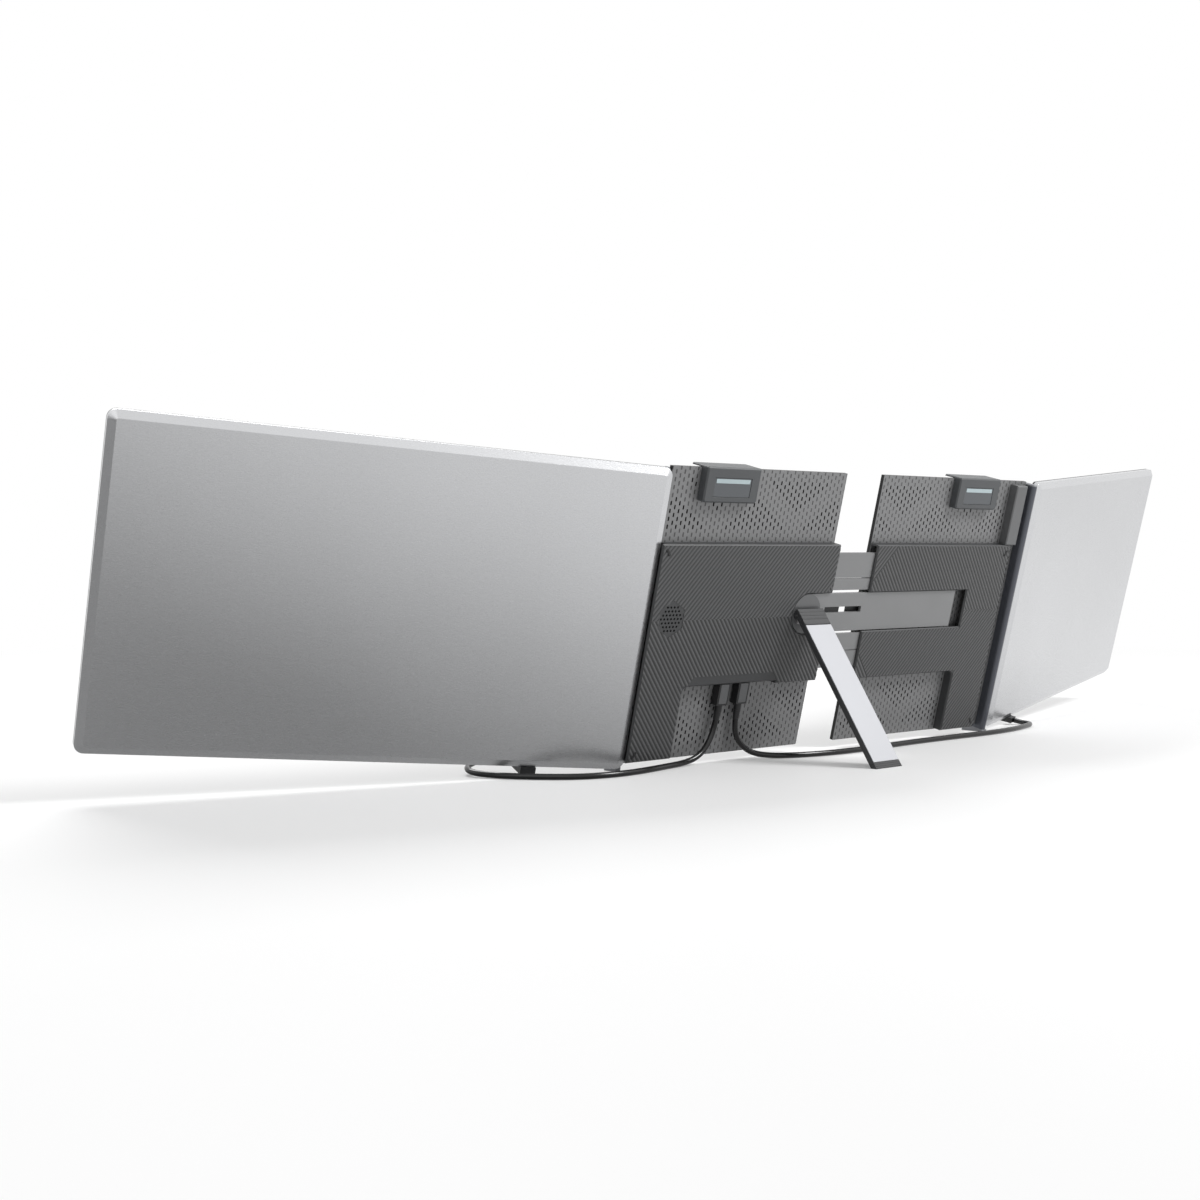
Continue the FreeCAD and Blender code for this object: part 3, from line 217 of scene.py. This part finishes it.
def perforated(name, colour):
    """Plate with shallow slot dimples on the lattice that its open slots follow, with painted shade in
    the dimples and on the slots' walls below its face.
    """
    finish = Finish(name, colour, 0.45, 0.25)
    x, y, z = finish.where(PANEL)
    masks = []
    for shift in (0.0, 0.5):
        off = []
        for value, middle, pitch in zip((x, y), SLOT_MIDDLE, SLOT_PITCH):
            steps = finish.sum("DIVIDE", finish.sum("SUBTRACT", value, middle), pitch)
            turn = finish.sum("PINGPONG", finish.sum("ADD", steps, shift), 0.5)
            off.append(finish.sum("MULTIPLY", turn, pitch))
        flank = finish.sum("SUBTRACT", SLOT_HALF[0], off[0])
        tip = finish.sum("SUBTRACT", finish.sum("SUBTRACT", SLOT_HALF[1], off[1]),
                         finish.sum("MULTIPLY", off[0], TIP_SLOPE))
        masks.append(finish.span(finish.sum("MINIMUM", flank, tip), start=(0.0, 0.3)))
    # Painted shade: the slots' walls below the face are painted nearly black, and the dimples darker
    # than the face.
    on_face = finish.span(z, start=(-0.3, -0.1))
    dimple = finish.sum("MULTIPLY", finish.sum("MAXIMUM", *masks), on_face)
    clear = finish.sum("SUBTRACT", 1.0, finish.sum("MULTIPLY", dimple, 0.65))
    finish.shade(finish.sum("MULTIPLY", clear, on_face), 0.04, 1.0)
    fine = finish.noise(2500.0, 2.0)
    finish.vary(fine, 0.38, 0.52)
    finish.bump(finish.sum("SUBTRACT", finish.sum("MULTIPLY", fine, 0.05), dimple), 0.00035,
                finish.soft_edges(0.0002))
    return finish.material


def ribbed(name, colour, low, high):
    """Moulded ridges with painted shade in their grooves and a painted highlight on their crests,
    between two heights in the panel's frame.
    """
    finish = Finish(name, colour, 0.42)
    # Painted shade in the grooves and a painted highlight on the crests, by height over the face.
    finish.shade(finish.span(finish.where(PANEL)[2], start=(low, high)), 0.35, 1.15)
    fine = finish.noise(1800.0, 2.0)
    finish.vary(fine, 0.36, 0.48)
    finish.bump(fine, 0.00002)
    return finish.material


def cloth(name, colour):
    finish = Finish(name, colour, 0.9)
    weave = finish.noise(3000.0, 1.0)
    finish.shade(weave, 0.6, 1.5)
    finish.bump(weave, 0.0002)
    return finish.material


def screen_glass():
    finish = Finish("screen_glass", (0.012, 0.013, 0.016), 0.16)
    finish.shade(finish.noise(6.0, 2.0), 0.9, 1.15)
    finish.bump(finish.noise(4000.0, 2.0), 0.00001)
    return finish.material


def circuit_board():
    finish = Finish("circuit_board", (0.03, 0.16, 0.07), 0.5)
    tracks = finish.node("ShaderNodeTexVoronoi", Scale=500.0)
    tracks.feature = "DISTANCE_TO_EDGE"
    finish.feed(tracks.inputs["Vector"], finish.node("ShaderNodeTexCoord").outputs["Object"])
    finish.shade(tracks.outputs["Distance"], 0.6, 2.0)
    return finish.material


SILVER = (0.60, 0.605, 0.617)
LEFT_SILVER = satin_aluminium("wing_silver_left", SILVER, LEFT_WING, (0.24, 0.32), 0.9)
RIGHT_SILVER = satin_aluminium("wing_silver_right", SILVER, RIGHT_WING, (0.24, 0.32), 0.9)
LEG_FACE = satin_aluminium("leg_silver", (0.42, 0.425, 0.445), LEG, (0.45, 0.55), 0.3)
PLATE = perforated("plate_grey", (0.205, 0.206, 0.209))
COVER = painted("cover_dark", (0.04, 0.041, 0.043), 0.45, 1800.0)
RIB = ribbed("rib_dark", (0.075, 0.076, 0.078),
             COVER_FACE + RIB_PLAIN, COVER_FACE + RIB_CREST - RIB_PLAIN)
RAIL = painted("rail_grey", (0.22, 0.222, 0.225), 0.42, 2500.0, 0.00002, 0.0003, 0.3)
SLATE = painted("slate_bar", (0.075, 0.08, 0.095), 0.38, 2500.0, 0.00003, 0.0004, 0.3)
CAP = painted("cap_grey", (0.22, 0.225, 0.24), 0.4, 2500.0, 0.00003, 0.0005)
CLIP = painted("clip_slate", (0.065, 0.069, 0.073), 0.4, 2500.0, 0.00003, 0.0006)
RECESS = painted("clip_recess", (0.085, 0.092, 0.1), 0.42, 2500.0, 0.00002, 0.0002)
LABEL = painted("pale_strip", (0.40, 0.48, 0.50), 0.5, 2500.0, 0.00001, 0.0001)
BLACK = painted("inner_black", (0.012, 0.012, 0.013), 0.5)
HUB_FACE = painted("hub_face", (0.035, 0.036, 0.038), 0.55, 1500.0, 0.00003, 0.0003)
HUB = painted("hub_black", (0.04, 0.041, 0.043), 0.42, 1500.0, 0.00003, 0.0004)
FOOT = painted("foot_rubber", (0.035, 0.035, 0.037), 0.6, 1500.0, 0.00006, 0.0005)
DISC = painted("disc_grey", (0.13, 0.132, 0.135), 0.36, 2500.0, 0.00002, 0.0003, 0.3)
BEZEL = painted("bezel_black", (0.03, 0.03, 0.033), 0.5, 2500.0, 0.00002, 0.0003)
WHITE = painted("backlight_white", (0.8, 0.8, 0.8), 0.5)
STEEL = painted("bright_steel", (0.55, 0.55, 0.56), 0.28, 1500.0, 0.00001, 0.0002, 1.0)
LEAD = painted("lead_black", (0.004, 0.004, 0.0045), 0.16, 1200.0, 0.00001, 0.0001)
PLUG_SIDE = painted("plug_black", (0.012, 0.012, 0.013), 0.35, 1500.0, 0.00002, 0.0004)
PLUG_FACE = painted("plug_grey", (0.085, 0.087, 0.09), 0.45, 2000.0, 0.00003, 0.0003)
LINING = cloth("lining_black", (0.010, 0.010, 0.011))
GLASS = screen_glass()
BOARD = circuit_board()

FINISHES = {
    PLATE: ("plate_left", "plate_right"),
    LINING: ("lining_left", "lining_right"),
    COVER: ("cover_left", "cover_right"),
    RAIL: ("tongue", "rail_upper_left", "rail_lower_left", "rail_upper_right", "rail_lower_right"),
    SLATE: ("hinge_bar_left", "hinge_bar_right"),
    CAP: ("bar_ends_left", "bar_ends_right"),
    DISC: ("turntable_disc", "hinge_cover"),
    CLIP: ("clip_left", "clip_right"),
    BLACK: ("speaker", "tongue_backing", "slide_link", "clip_guide_left", "clip_guide_right",
            "wing_left_button", "wing_right_button"),
    STEEL: ("hinge_pins_left", "hinge_pins_right", "hinge_arms_left", "hinge_arms_right",
            "leg_pin", "leg_bracket", "turntable_washer", "usb_sockets",
            "cover_screws_left", "cover_screws_right", "clip_springs_left", "clip_springs_right"),
    HUB: ("leg_hub", "leg"),
    FOOT: ("leg_foot",),
    BEZEL: ("wing_left_bezel", "wing_right_bezel"),
    GLASS: ("wing_left_panel", "wing_right_panel"),
    WHITE: ("wing_left_backlight", "wing_right_backlight"),
    BOARD: ("main_board", "wing_left_board", "wing_right_board"),
    PLUG_SIDE: ("base_plug_left", "base_plug_right", "wing_plug_left", "wing_plug_right"),
    LEAD: ("cord_left", "cord_right"),
    LEFT_SILVER: ("wing_left_back",),
    RIGHT_SILVER: ("wing_right_back",),
}
for finish, names in FINISHES.items():
    for name in names:
        for slot in nodes[name].material_slots:
            slot.material = finish


# Pieces made here

def soften(mesh, edges, offset, segments):
    bmesh.ops.bevel(mesh, geom=edges, offset=offset, offset_type="OFFSET", affect="EDGES",
                    segments=segments, profile=0.5, material=-1, clamp_overlap=True)


def add_piece(name, mesh, material, body, frame_of):
    """Turn a bmesh drawn in a body's frame, in millimetres, into a finished piece."""
    bmesh.ops.scale(mesh, vec=(MM, MM, MM), verts=mesh.verts)
    bmesh.ops.transform(mesh, matrix=frame_of, verts=mesh.verts)
    bmesh.ops.remove_doubles(mesh, verts=mesh.verts, dist=1e-6)
    bmesh.ops.recalc_face_normals(mesh, faces=mesh.faces)
    data = bpy.data.meshes.new(name)
    mesh.to_mesh(data)
    mesh.free()
    data.materials.append(material)
    piece = bpy.data.objects.new(name, data)
    bpy.context.collection.objects.link(piece)
    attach(piece, body)


# Leads: a thickness in metres, and the points that each follows on the floor

LEAD_THICK = 0.0042
LEFT_ROUTE = (
    (118.5, 11.99, 37.65), (118.8, 9.6, 28.0), (121.4, 8.0, 18.4), (127.6, 7.8, 10.2), (137.6, 8.4, 4.6),
    (151.5, 9.2, 2.4), (169.0, 12.0, 2.15), (189.0, 17.2, 2.2), (210.0, 20.6, 2.15), (231.0, 20.6, 2.2),
    (251.0, 14.4, 2.15), (268.5, 0.6, 2.2), (285.0, -20.0, 2.15), (292.5, -35.9, 2.4),
    (295.7, -44.9, 3.0), (293.9, -54.2, 4.2), (287.4, -61.1, 5.8), (278.3, -63.7, 7.6),
    (269.1, -61.2, 9.4), (262.6, -54.3, 10.9), (260.6, -45.0, 11.1), (263.63, -36.37, 8.98),
)
RIGHT_ROUTE = (
    (98.5, 11.99, 37.65), (98.2, 9.6, 28.2), (95.9, 8.0, 18.9), (90.6, 8.6, 10.6), (82.4, 12.2, 4.6),
    (70.5, 18.8, 2.4), (55.0, 26.6, 2.15), (37.0, 32.2, 2.2), (14.0, 35.4, 2.15), (-13.0, 35.8, 2.2),
    (-43.0, 33.4, 2.15), (-75.0, 30.6, 2.2), (-109.0, 29.2, 2.15), (-144.0, 28.9, 2.2),
    (-179.0, 29.2, 2.15), (-208.5, 27.2, 2.2), (-235.0, 22.6, 2.15), (-257.1, 15.8, 2.2),
    (-271.2, 10.7, 2.15), (-276.5, 4.4, 2.2), (-277.9, -3.5, 2.23), (-275.76, -10.41, 3.93),
)


def make_lead(side, route):
    """A tube along the same points as in the part's source, in the place of the part's cord, which it
    hides.
    """
    name = "lead_" + side
    curve = bpy.data.curves.new(name, "CURVE")
    curve.dimensions = "3D"
    curve.resolution_u = 8
    curve.use_fill_caps = True
    curve.bevel_resolution = 5
    spline = curve.splines.new("NURBS")
    spline.points.add(len(route) - 1)
    for point, (x, y, z) in zip(spline.points, route):
        point.co = (*place(FLOOR, x, y, z), 1)
    spline.order_u = 3
    spline.use_endpoint_u = True
    line = bpy.data.objects.new(name, curve)
    path = [tuple(vert.co) for vert in bpy.data.meshes.new_from_object(line).vertices]
    curve.bevel_depth = LEAD_THICK / 2
    mesh = bmesh.new()
    mesh.from_mesh(bpy.data.meshes.new_from_object(line))
    bpy.data.objects.remove(line)
    bmesh.ops.remove_doubles(mesh, verts=mesh.verts, dist=0.00001)
    bmesh.ops.recalc_face_normals(mesh, faces=mesh.faces)
    tube = bpy.data.meshes.new(name)
    mesh.to_mesh(tube)
    mesh.free()
    tube.materials.append(LEAD)
    lead = bpy.data.objects.new(name, tube)
    bpy.context.collection.objects.link(lead)
    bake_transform(lead)
    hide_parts("cord_" + side)


make_lead("left", LEFT_ROUTE)
make_lead("right", RIGHT_ROUTE)


# Slabs that lie on the part's own faces, drawn in a body's frame in millimetres

def slab(x, y, z, corner=0.0, edge=0.0):
    """A plate between the pairs x, y and z, with round corners and a softened outer face."""
    mesh = bmesh.new()
    bmesh.ops.create_cube(mesh, size=1)
    bmesh.ops.scale(mesh, vec=(x[1] - x[0], y[1] - y[0], z[1] - z[0]), verts=mesh.verts)
    bmesh.ops.translate(mesh, vec=(sum(x) / 2, sum(y) / 2, sum(z) / 2), verts=mesh.verts)
    if corner:
        upright = [side for side in mesh.edges
                   if abs(side.verts[0].co.z - side.verts[1].co.z) > NEAR]
        soften(mesh, upright, corner, 6)
    if edge:
        rim = [side for side in mesh.edges if all(abs(end.co.z - z[1]) < NEAR for end in side.verts)]
        soften(mesh, rim, edge, 3)
    return mesh


def turned(mesh, degrees, about):
    turn = Matrix.Rotation(math.radians(degrees), 3, "Z")
    bmesh.ops.rotate(mesh, cent=about, matrix=turn, verts=mesh.verts)
    return mesh


def joined(meshes):
    """One bmesh out of several."""
    whole = bmesh.new()
    for mesh in meshes:
        part = bpy.data.meshes.new("part")
        mesh.to_mesh(part)
        mesh.free()
        whole.from_mesh(part)
        bpy.data.meshes.remove(part)
    return whole


# Ribs on the covers: fields of slanting ridges that meet in a herringbone

# Both covers: the height where the fields meet, the top edge, and the opening for the tongue
SEAM = 104.0
COVER_TOP = 156.7
WINDOW = (89.1, 121.3)

# The left cover's sides, its band's lower edge and step, its leg, the smooth ledge over the plugs
LEFT_FACE = (-203.2, -22.2)
LEFT_LOW = 55.8
LEFT_STEP = (-65.2, 53.8)
LEFT_LEG = -162.3
LEFT_FOOT = 3.3
LEDGE_TOP = 62.0
LEDGE_ENDS = ((-158, LEFT_LOW), (-66, LEFT_LOW))

# The disc's notch, the corner where the ribs beside it turn, and the grille
NOTCH = (-46.0, 105.2)
NOTCH_RADIUS = 16.4
NOTCH_BIT = (-28.5, WINDOW[1])
GRILLE = (-185.0, 105.0)
GRILLE_RADIUS = 11.5

# The right cover's sides, its band's lower edge, its leg, its opening's end and the ribs' corners
RIGHT_FACE = (22.2, 190.2)
RIGHT_LOW = 52.8
RIGHT_LEG = 148.3
RIGHT_FOOT = 1.8
WINDOW_END = 144.3
TOP_CORNER = (46.0, COVER_TOP)
LOW_CORNER = (39.0, RIGHT_LOW)
LOW_FIELD_END = 60


def split(mesh, point, normal):
    everything = mesh.verts[:] + mesh.edges[:] + mesh.faces[:]
    bmesh.ops.bisect_plane(mesh, geom=everything, dist=NEAR,
                           plane_co=(*point, 0), plane_no=(*normal, 0))


def around(centre, radius, sides):
    """Points on a circle and the directions out of it, to split a mesh along its tangents."""
    for step in range(sides):
        angle = 2 * math.pi * step / sides
        out = (math.cos(angle), math.sin(angle))
        yield (centre[0] + radius * out[0], centre[1] + radius * out[1]), out


def rib_field(x, y, lean, cuts, inside):
    """Ridges over the part of a rectangle that is inside, leaning right for 1 and left for -1."""
    mesh = bmesh.new()
    bmesh.ops.create_grid(mesh, x_segments=1, y_segments=1, size=0.5)
    bmesh.ops.scale(mesh, vec=(x[1] - x[0], y[1] - y[0], 1), verts=mesh.verts)
    bmesh.ops.translate(mesh, vec=(sum(x) / 2, sum(y) / 2, 0), verts=mesh.verts)
    for point, normal in cuts:
        split(mesh, point, normal)
    gone = [face for face in mesh.faces if not inside(*face.calc_center_median()[:2])]
    bmesh.ops.delete(mesh, geom=gone, context="FACES")
    phases = [(vert.co.x - lean * vert.co.y / RIB_SLOPE) / RIB_PITCH for vert in mesh.verts]
    for line in range(math.ceil(2 * min(phases)), math.floor(2 * max(phases)) + 1):
        split(mesh, (line * RIB_PITCH / 2, 0), (1, -lean / RIB_SLOPE))
    for vert in mesh.verts:
        phase = (vert.co.x - lean * vert.co.y / RIB_SLOPE) / RIB_PITCH
        vert.co.z = COVER_FACE + RIB_CREST * (1 - abs(2 * (phase % 1) - 1))
    low = bmesh.ops.extrude_face_region(mesh, geom=mesh.faces[:])["geom"]
    for item in low:
        if isinstance(item, bmesh.types.BMVert):
            item.co.z = COVER_FACE - RIB_SINK
    return mesh


def above(x, y, corner, lean):
    """Whether a place is above the line of a rib through a corner."""
    return y > corner[1] + lean * RIB_SLOPE * (x - corner[0])


def left_cover_face(x, y):
    band = LEFT_FACE[0] < x < LEFT_FACE[1] and LEFT_LOW < y < COVER_TOP
    step = LEFT_STEP[0] < x < LEFT_FACE[1] and LEFT_STEP[1] < y < LEFT_LOW
    leg = x < LEFT_LEG and LEFT_FOOT < y < LEFT_LOW
    notch = x > NOTCH[0] and WINDOW[0] < y < WINDOW[1]
    notch = notch or math.dist((x, y), NOTCH) < NOTCH_RADIUS
    grille = all((x - point[0]) * out[0] + (y - point[1]) * out[1] < 0
                 for point, out in around(GRILLE, GRILLE_RADIUS, 6))
    over_ends = above(x, y, LEDGE_ENDS[0], 1) or above(x, y, LEDGE_ENDS[1], -1)
    ledge = LEFT_LOW < y < LEDGE_TOP and not over_ends
    return (band or step or leg) and not (notch or grille or ledge)


def right_cover_face(x, y):
    band = RIGHT_FACE[0] < x < RIGHT_FACE[1] and RIGHT_LOW < y < COVER_TOP
    leg = RIGHT_LEG < x < RIGHT_FACE[1] and RIGHT_FOOT < y < RIGHT_LOW
    window = x < WINDOW_END and WINDOW[0] < y < WINDOW[1]
    return (band or leg) and not window


def level_lines(*heights):
    return [((0, height), (0, 1)) for height in heights]


def upright_lines(*places):
    return [((place_x, 0), (1, 0)) for place_x in places]


def rib_line(corner, lean):
    return (corner, (-lean * RIB_SLOPE, 1))


def make_left_ribs():
    cuts = level_lines(LEFT_FOOT, LEFT_STEP[1], LEFT_LOW, LEDGE_TOP, *WINDOW, COVER_TOP)
    cuts += upright_lines(LEFT_LEG, LEFT_STEP[0], NOTCH[0])
    cuts += [rib_line(LEDGE_ENDS[0], 1), rib_line(LEDGE_ENDS[1], -1)]
    cuts += list(around(GRILLE, GRILLE_RADIUS, 6)) + list(around(NOTCH, NOTCH_RADIUS, 24))
    upper_cuts, whole = cuts + [rib_line(NOTCH_BIT, 1)], left_cover_face
    upper = (SEAM, COVER_TOP)
    meshes = [
        rib_field(LEFT_FACE, upper, 1, upper_cuts,
                  lambda x, y: whole(x, y) and (above(x, y, NOTCH_BIT, 1) or x < NOTCH[0])),
        rib_field((NOTCH[0], LEFT_FACE[1]), upper, -1, upper_cuts,
                  lambda x, y: whole(x, y) and not above(x, y, NOTCH_BIT, 1)),
        rib_field(LEFT_FACE, (LEFT_FOOT, SEAM), -1, cuts, whole),
    ]
    add_piece("ribs_left", joined(meshes), RIB, "left_half", PANEL)


def make_right_ribs():
    cuts = level_lines(RIGHT_LOW, *WINDOW) + upright_lines(WINDOW_END, RIGHT_LEG)
    cuts += [rib_line(TOP_CORNER, 1), rib_line(LOW_CORNER, -1)]
    whole = right_cover_face
    upper = (SEAM, COVER_TOP)
    meshes = [
        rib_field(RIGHT_FACE, upper, -1, cuts,
                  lambda x, y: whole(x, y) and not above(x, y, TOP_CORNER, 1)),
        rib_field(RIGHT_FACE, upper, 1, cuts,
                  lambda x, y: whole(x, y) and above(x, y, TOP_CORNER, 1)),
        rib_field(RIGHT_FACE, (RIGHT_FOOT, SEAM), 1, cuts,
                  lambda x, y: whole(x, y) and above(x, y, LOW_CORNER, -1)),
        rib_field((RIGHT_FACE[0], LOW_FIELD_END), (RIGHT_LOW, SEAM), -1, cuts,
                  lambda x, y: whole(x, y) and not above(x, y, LOW_CORNER, -1)),
    ]
    add_piece("ribs_right", joined(meshes), RIB, "right_half", PANEL)


make_left_ribs()
make_right_ribs()


# Small slanting black pieces in the covers' outer corners, standing in for slots there: their black is
# painted shade

def make_corner_slot_shade(side, body, places):
    long, wide, proud = 6.0, 1.9, 0.25
    # black pieces for the corner slots, their black painted shade
    depth = (COVER_FACE - RIB_SINK, COVER_FACE + RIB_CREST + proud)
    plugs = [turned(slab((x - long / 2, x + long / 2), (y - wide / 2, y + wide / 2), depth, 0.9, 0.15),
                    angle, (x, y, 0))
             for x, y, angle in places]
    add_piece(f"corner_slot_shade_{side}", joined(plugs), BLACK, body, PANEL)


make_corner_slot_shade("left", "left_half", ((-198.5, 152, -55), (-198.5, 8, 55)))
make_corner_slot_shade("right", "right_half", ((186, 151, 55), (186, 7, -55)))


# Panels in the clips' recesses, each with a bare pale strip

def make_clip_panel(side, body, middle):
    panel = slab((middle - 17.8, middle + 17.8), (190.7, 203.8), (5.8, 6.3), 0.8, 0.15)
    strip = slab((middle - 16.6, middle + 16.6), (200.2, 203.2), (6.25, 6.38), 0.3, 0.04)
    add_piece(f"clip_panel_{side}", panel, RECESS, body, PANEL)
    add_piece(f"clip_strip_{side}", strip, LABEL, body, PANEL)


make_clip_panel("left", "left_clip", -146.5)
make_clip_panel("right", "right_clip", 134.5)


# The leg's bright face, the ridges on its hub and the grip on its foot

def ridges(heights, half_wide, half_thick, depth, edge):
    """Narrow slabs across the leg at several heights."""
    return [slab((-half_wide, half_wide), (y - half_thick, y + half_thick), depth, edge=edge)
            for y in heights]


def make_leg_pieces():
    face = slab((-13.8, 13.8), (-124.0, -10.7), (3.2, 3.65), 0.4, 0.15)
    add_piece("leg_face", face, LEG_FACE, "kickstand", LEG)
    hub = [slab((-14.0, 14.0), (-10.4, 3.2), (3.15, 3.55), 0.3, 0.12)]
    hub += ridges((-9.6, -5.2, -2.2, 0.8), 13.7, 0.5, (3.5, 3.75), 0.15)
    add_piece("hub_cap", joined(hub), HUB_FACE, "kickstand", LEG)
    grips = ridges((-125.4, -127.0, -128.6), 13.6, 0.4, (3.2, 3.45), 0.1)
    add_piece("foot_grip", joined(grips), FOOT, "kickstand", LEG)


make_leg_pieces()


# Grey faces and strain reliefs of the plugs at the left cover

def make_relief(name, route):
    """A tapered sleeve round the first stretch of a lead."""
    start, along = place(FLOOR, *route[0]), place(FLOOR, *route[1]) - place(FLOOR, *route[0])
    long = 7.0
    mesh = bmesh.new()
    bmesh.ops.create_cone(mesh, segments=32, radius1=2.7, radius2=2.25, depth=long, cap_ends=True)
    rings = [edge for edge in mesh.edges if abs(edge.verts[0].co.z - edge.verts[1].co.z) < NEAR]
    soften(mesh, rings, 0.15, 2)
    bmesh.ops.translate(mesh, vec=(0, 0, long / 2), verts=mesh.verts)
    turn = along.to_track_quat("Z", "Y").to_matrix().to_4x4()
    add_piece(name, mesh, PLUG_SIDE, "left_half", Matrix.Translation(start) @ turn)


def make_plug_face(side, middle):
    face = slab((middle - 3.9, middle + 3.9), (40.2, 54.4), (6.9, 7.25), 0.8, 0.12)
    add_piece(f"plug_face_{side}", face, PLUG_FACE, "left_half", PANEL)


make_relief("relief_left", LEFT_ROUTE)
make_relief("relief_right", RIGHT_ROUTE)
make_plug_face("left", -118.5)
make_plug_face("right", -98.5)


# Floor, light and backdrop

def make_floor():
    data = bpy.data.meshes.new("floor")
    mesh = bmesh.new()
    bmesh.ops.create_grid(mesh, x_segments=1, y_segments=1, size=6)
    mesh.to_mesh(data)
    mesh.free()
    floor = bpy.data.objects.new("floor", data)
    bpy.context.collection.objects.link(floor)
    paper = Finish("floor_paper", (0.86, 0.86, 0.86), 0.6)
    paper.shade(paper.noise(2.0, 2.0), 0.995, 1.005)
    path = paper.node("ShaderNodeLightPath").outputs
    point = paper.node("ShaderNodeTexCoord").outputs["Object"]

    # white in the distance, plain paper with the object's shadow near it
    away = paper.node("ShaderNodeVectorMath")
    away.operation = "LENGTH"
    paper.feed(away.inputs[0], point)
    white = paper.span(away.outputs["Value"], start=(0.7, 1.6), end=(0.2, 1.0))
    seen = paper.sum("MAXIMUM", path["Is Camera Ray"], path["Is Transmission Ray"])
    seen_white = paper.sum("MULTIPLY", seen, white)

    # painted reflection: in the metal the floor glows darker near the left wing's foot and white further
    # off, which paints the wings' shading
    apart = paper.node("ShaderNodeSeparateXYZ")
    paper.feed(apart.inputs[0], point)
    across = paper.sum("MULTIPLY", apart.outputs["X"], -0.75)
    back = paper.sum("MULTIPLY", paper.sum("ABSOLUTE", apart.outputs["Y"]), 1.2)
    painted_reflection = paper.span(paper.sum("ADD", across, back), start=(-0.27, 0.4), end=(0.14, 1.0))
    glossy = path["Is Glossy Ray"]
    strength = paper.node("ShaderNodeMix", Factor=glossy, A=1.0, B=painted_reflection).outputs[0]
    share = paper.sum("MAXIMUM", seen_white, paper.sum("MULTIPLY", glossy, 0.8))

    blend = paper.node("ShaderNodeMixShader", Fac=share)
    glow = paper.node("ShaderNodeEmission", Strength=strength)
    paper.tree.links.new(paper.shader.outputs[0], blend.inputs[1])
    paper.tree.links.new(glow.outputs[0], blend.inputs[2])
    output = paper.tree.nodes["Material Output"]
    paper.tree.links.new(blend.outputs[0], output.inputs["Surface"])
    data.materials.append(paper.material)


def make_light(name, energy, size, at, to):
    data = bpy.data.lights.new(name, "AREA")
    data.shape = "RECTANGLE"
    data.energy = energy
    data.size, data.size_y = size
    light = bpy.data.objects.new(name, data)
    light.location = at
    light.rotation_euler = (Vector(to) - Vector(at)).to_track_quat("-Z", "Y").to_euler()
    bpy.context.collection.objects.link(light)


def make_world():
    world = bpy.data.worlds.new("studio")
    bpy.context.scene.world = world
    world.use_nodes = True
    tree = world.node_tree
    tree.nodes.clear()
    path = tree.nodes.new("ShaderNodeLightPath")
    seen = path.outputs["Is Camera Ray"]
    for ray in ("Is Glossy Ray", "Is Transmission Ray"):
        either = tree.nodes.new("ShaderNodeMath")
        either.operation = "MAXIMUM"
        tree.links.new(seen, either.inputs[0])
        tree.links.new(path.outputs[ray], either.inputs[1])
        seen = either.outputs[0]
    lit = tree.nodes.new("ShaderNodeBackground")
    lit.inputs["Color"].default_value = (1, 1, 1, 1)
    lit.inputs["Strength"].default_value = 0.45
    shown = tree.nodes.new("ShaderNodeBackground")
    shown.inputs["Color"].default_value = (1, 1, 1, 1)
    shown.inputs["Strength"].default_value = 1.0
    blend = tree.nodes.new("ShaderNodeMixShader")
    tree.links.new(seen, blend.inputs["Fac"])
    tree.links.new(lit.outputs[0], blend.inputs[1])
    tree.links.new(shown.outputs[0], blend.inputs[2])
    output = tree.nodes.new("ShaderNodeOutputWorld")
    tree.links.new(blend.outputs[0], output.inputs["Surface"])


make_floor()
make_light("key", 32, (0.8, 0.7), (-0.9, 1.25, 1.5), (0, 0, 0.1))
make_light("fill", 3, (1.6, 1.6), (1.9, 1.2, 1.5), (0.1, 0, 0.1))
make_light("front", 30, (1.6, 1.0), (-0.2, -1.5, 1.9), (0, 0, 0.1))
make_world()
bpy.context.scene.view_settings.view_transform = "Standard"
